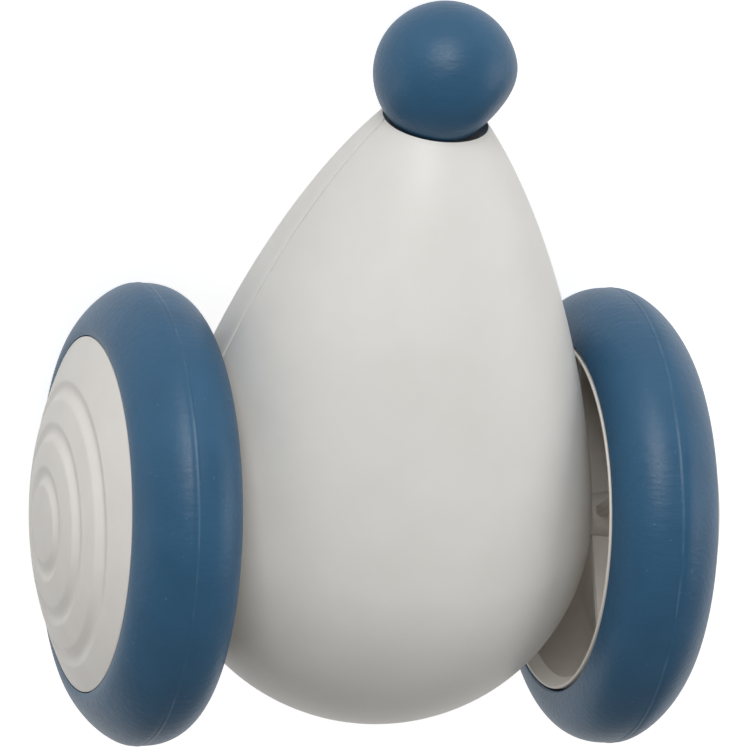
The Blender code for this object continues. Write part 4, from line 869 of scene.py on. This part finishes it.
# %% [markdown]
# ## Hubcaps
#
# The hubcap is a low dome, and three soft rings are pressed into it, like ripples on water. Each ring is a smooth
# valley, so the light makes a dark and a bright line of it. A short plug behind the dome fits in the rim.

# %% The hubcap's section
CAP_RISE = 5.85 * MM
CAP_POWER = 2.0
CAP_WALL = 1.5 * MM
CAP_ROUND = 0.25 * MM
CAP_DRAFT = 0.05 * MM
FACE_STEPS = 130
UNDER_STEPS = 24
PLUG_WALL = 1.0 * MM
PLUG_DEPTH = 1.1 * MM
RING_RADII = [17.0 * MM, 11.75 * MM, 6.15 * MM]
RING_DEPTH = 0.48 * MM
RING_HALF = 1.3 * MM
RING_FULLNESS = 0.8


def dome(radius):
    return CAP_RISE * (1 - (radius / CAP_RADIUS) ** CAP_POWER)


def cap_face(radius):
    """The outer face of the cap, measured along the axle."""
    height = dome(radius)
    for ring in RING_RADII:
        reach = abs(radius - ring) / RING_HALF
        if reach < 1:
            height -= RING_DEPTH * (0.5 + 0.5 * math.cos(math.pi * reach)) ** RING_FULLNESS
    return CAP_AT + CAP_EDGE + height


plug = barrel - FIT_GAP
face = [(cap_face(radius), radius) for radius in np.linspace(CAP_RADIUS - CAP_ROUND, 0, FACE_STEPS)]
under = [(cap_face(radius) - CAP_WALL, radius) for radius in np.linspace(0, plug - PLUG_WALL, UNDER_STEPS)]
cap_outline = [(CAP_AT, plug), (CAP_AT, CAP_RADIUS - CAP_ROUND / 2), (CAP_AT + CAP_ROUND / 2, CAP_RADIUS)]
cap_outline += [(CAP_AT + CAP_EDGE, CAP_RADIUS - CAP_DRAFT)] + face + under
cap_outline += [(CAP_AT - PLUG_DEPTH, plug - PLUG_WALL), (CAP_AT - PLUG_DEPTH, plug)]
print("the cap is", round((cap_face(0) - CAP_AT) / MM, 2), "mm high from its edge to its top")

# %% [markdown]
# ### Rings off the middle
#
# On the real toy the rings aren't quite in the dome's middle. Sliding them is easier than drawing them there: each
# vertex of the turned face moves aside, least at the edge, and its height is corrected to stay on the dome.

# %% Drifting the rings
RING_DRIFT = Vector((0, -1.1 * MM, 0.6 * MM))
CAP_STEPS = 160
plain_edge = CAP_RADIUS - RING_RADII[0] - RING_HALF


def drift_rings(cap, side):
    """Slides the rings off the middle, and leaves the dome and its edge where they are."""
    for vert in cap.data.vertices:
        radius = math.hypot(vert.co.x, vert.co.y)
        if vert.co.z < cap_face(radius) - CLOSE:
            continue
        share = min(1.0, max(0.0, CAP_RADIUS - radius) / plain_edge)
        vert.co.x -= side * share * RING_DRIFT.z
        vert.co.y += share * RING_DRIFT.y
        vert.co.z += dome(math.hypot(vert.co.x, vert.co.y)) - dome(radius)


for side_name, side in SIDES:
    cap = turn(f"{side_name}_hubcap_dome", cap_outline, CAP_STEPS)
    drift_rings(cap, side)
    apply_place(cap, TOY @ along_x(side))
    hand_over(cap, f"{side_name}_wheel", f"{side_name}_hubcap", CAP_WHITE)

# %% [markdown]
# ## The studio
#
# The toy stands on a plain white floor. The floor shows as white to the camera and to reflections, and still takes
# the toy's shadow: its own pale paint is lit by the lamps, and a glow is added that only those rays see.

# %% Floor
FLOOR_SIZE = 4
FLOOR_PAINT = 0.80
FLOOR_ROUGHNESS = 0.9
FLOOR_GLOW = 0.74
pick_nothing()
bpy.ops.mesh.primitive_plane_add(size=FLOOR_SIZE)
floor = bpy.context.object
floor.name = "studio_floor"
floor_paint, nodes, links, shader = new_finish("studio_white")
shader.inputs["Base Color"].default_value = (FLOOR_PAINT, FLOOR_PAINT, FLOOR_PAINT, 1)
shader.inputs["Roughness"].default_value = FLOOR_ROUGHNESS
rays = nodes.new("ShaderNodeLightPath").outputs
seen = rays["Is Camera Ray"]
for ray in ("Is Glossy Ray", "Is Transmission Ray"):
    seen = maths("MAXIMUM", seen, rays[ray])
glow = nodes.new("ShaderNodeEmission")
glow.inputs["Color"].default_value = (1, 1, 1, 1)
links.new(maths("MULTIPLY", seen, FLOOR_GLOW), glow.inputs["Strength"])
both = nodes.new("ShaderNodeAddShader")
links.new(shader.outputs["BSDF"], both.inputs[0])
links.new(glow.outputs["Emission"], both.inputs[1])
links.new(both.outputs["Shader"], nodes["Material Output"].inputs["Surface"])
floor.data.materials.append(floor_paint)

# %% [markdown]
# ## The camera
#
# The photograph shows the toy from in front and above, with the nose at the top of the picture, through a long
# lens. The camera's direction is written in the upright toy's own directions, and TOY then leans it with the toy.

# %% Camera
AZIMUTH = math.radians(19.10)
ELEVATION = math.radians(25.17)
ROLL = math.radians(8.80)
DISTANCE = 1000 * MM
AIM = Vector((-2.76 * MM, 20.04 * MM, 0))
PICTURE = 750
LENS_IN_PIXELS = 7853
SENSOR = 36
NEAREST = 10 * MM

to_camera = Vector(
    (-math.sin(AZIMUTH) * math.cos(ELEVATION), math.sin(ELEVATION), math.cos(AZIMUTH) * math.cos(ELEVATION))
)
right = Vector((0, 1, 0)).cross(to_camera).normalized()
up = to_camera.cross(right)
picture_right = math.cos(ROLL) * right + math.sin(ROLL) * up
picture_up = -math.sin(ROLL) * right + math.cos(ROLL) * up
stand = Matrix((picture_right, picture_up, to_camera)).transposed().to_4x4()
stand.translation = AIM + to_camera * DISTANCE
CAMERA_PLACE = TOY @ stand
pick_nothing()
bpy.ops.object.camera_add()
camera = bpy.context.object
camera.matrix_world = CAMERA_PLACE
camera.data.sensor_width = SENSOR
camera.data.lens = LENS_IN_PIXELS * SENSOR / PICTURE
camera.data.clip_start = NEAREST
bpy.context.scene.camera = camera
print("the lens is", round(camera.data.lens), "mm long")

# %% [markdown]
# ## Lamps
#
# In the photograph the light is broad and comes from the picture's top, so the egg pales towards the nose and
# darkens towards the tail. Each lamp is placed by a direction in the picture: right, up and towards the camera. Two
# weaker lamps at the sides keep the edges of the egg from going dark, and a pale warm world fills the rest.

# %% Lamps and world
LAMP_DISTANCE = 1000 * MM
LAMP_SIZE = 600 * MM
LIT_MIDDLE = Vector((0, 15 * MM, 0))
WORLD_COLOUR = (1.0, 0.975, 0.94, 1)
WORLD_STRENGTH = 0.36


def lamp(name, across, height, nearness, power):
    pick_nothing()
    bpy.ops.object.light_add(type="AREA")
    light = bpy.context.object
    light.name = name
    way = CAMERA_PLACE.to_3x3() @ Vector((across, height, nearness)).normalized()
    lamp_at = TOY @ LIT_MIDDLE + way * LAMP_DISTANCE
    light.matrix_world = Matrix.Translation(lamp_at) @ way.to_track_quat("Z", "Y").to_matrix().to_4x4()
    light.data.shape = "DISK"
    light.data.size = LAMP_SIZE
    light.data.energy = power
    print(name, "gives", power, "W")


lamp("top_lamp", 0, 0.5, 0.87, 6.1)
lamp("right_lamp", 1, 0, 0.08, 2.0)
lamp("left_lamp", -1, 0, 0.08, 2.5)
world = bpy.data.worlds.new("studio_air")
bpy.context.scene.world = world
world.use_nodes = True
air = world.node_tree.nodes["Background"]
air.inputs["Color"].default_value = WORLD_COLOUR
air.inputs["Strength"].default_value = WORLD_STRENGTH
bpy.context.scene.view_settings.view_transform = "Standard"

# %% [markdown]
# ## Sizes
#
# The dressed toy is meant to fill the same box as the imported model. The last cell only clears the selection.

# %% Clear the selection and finish
pick_nothing()
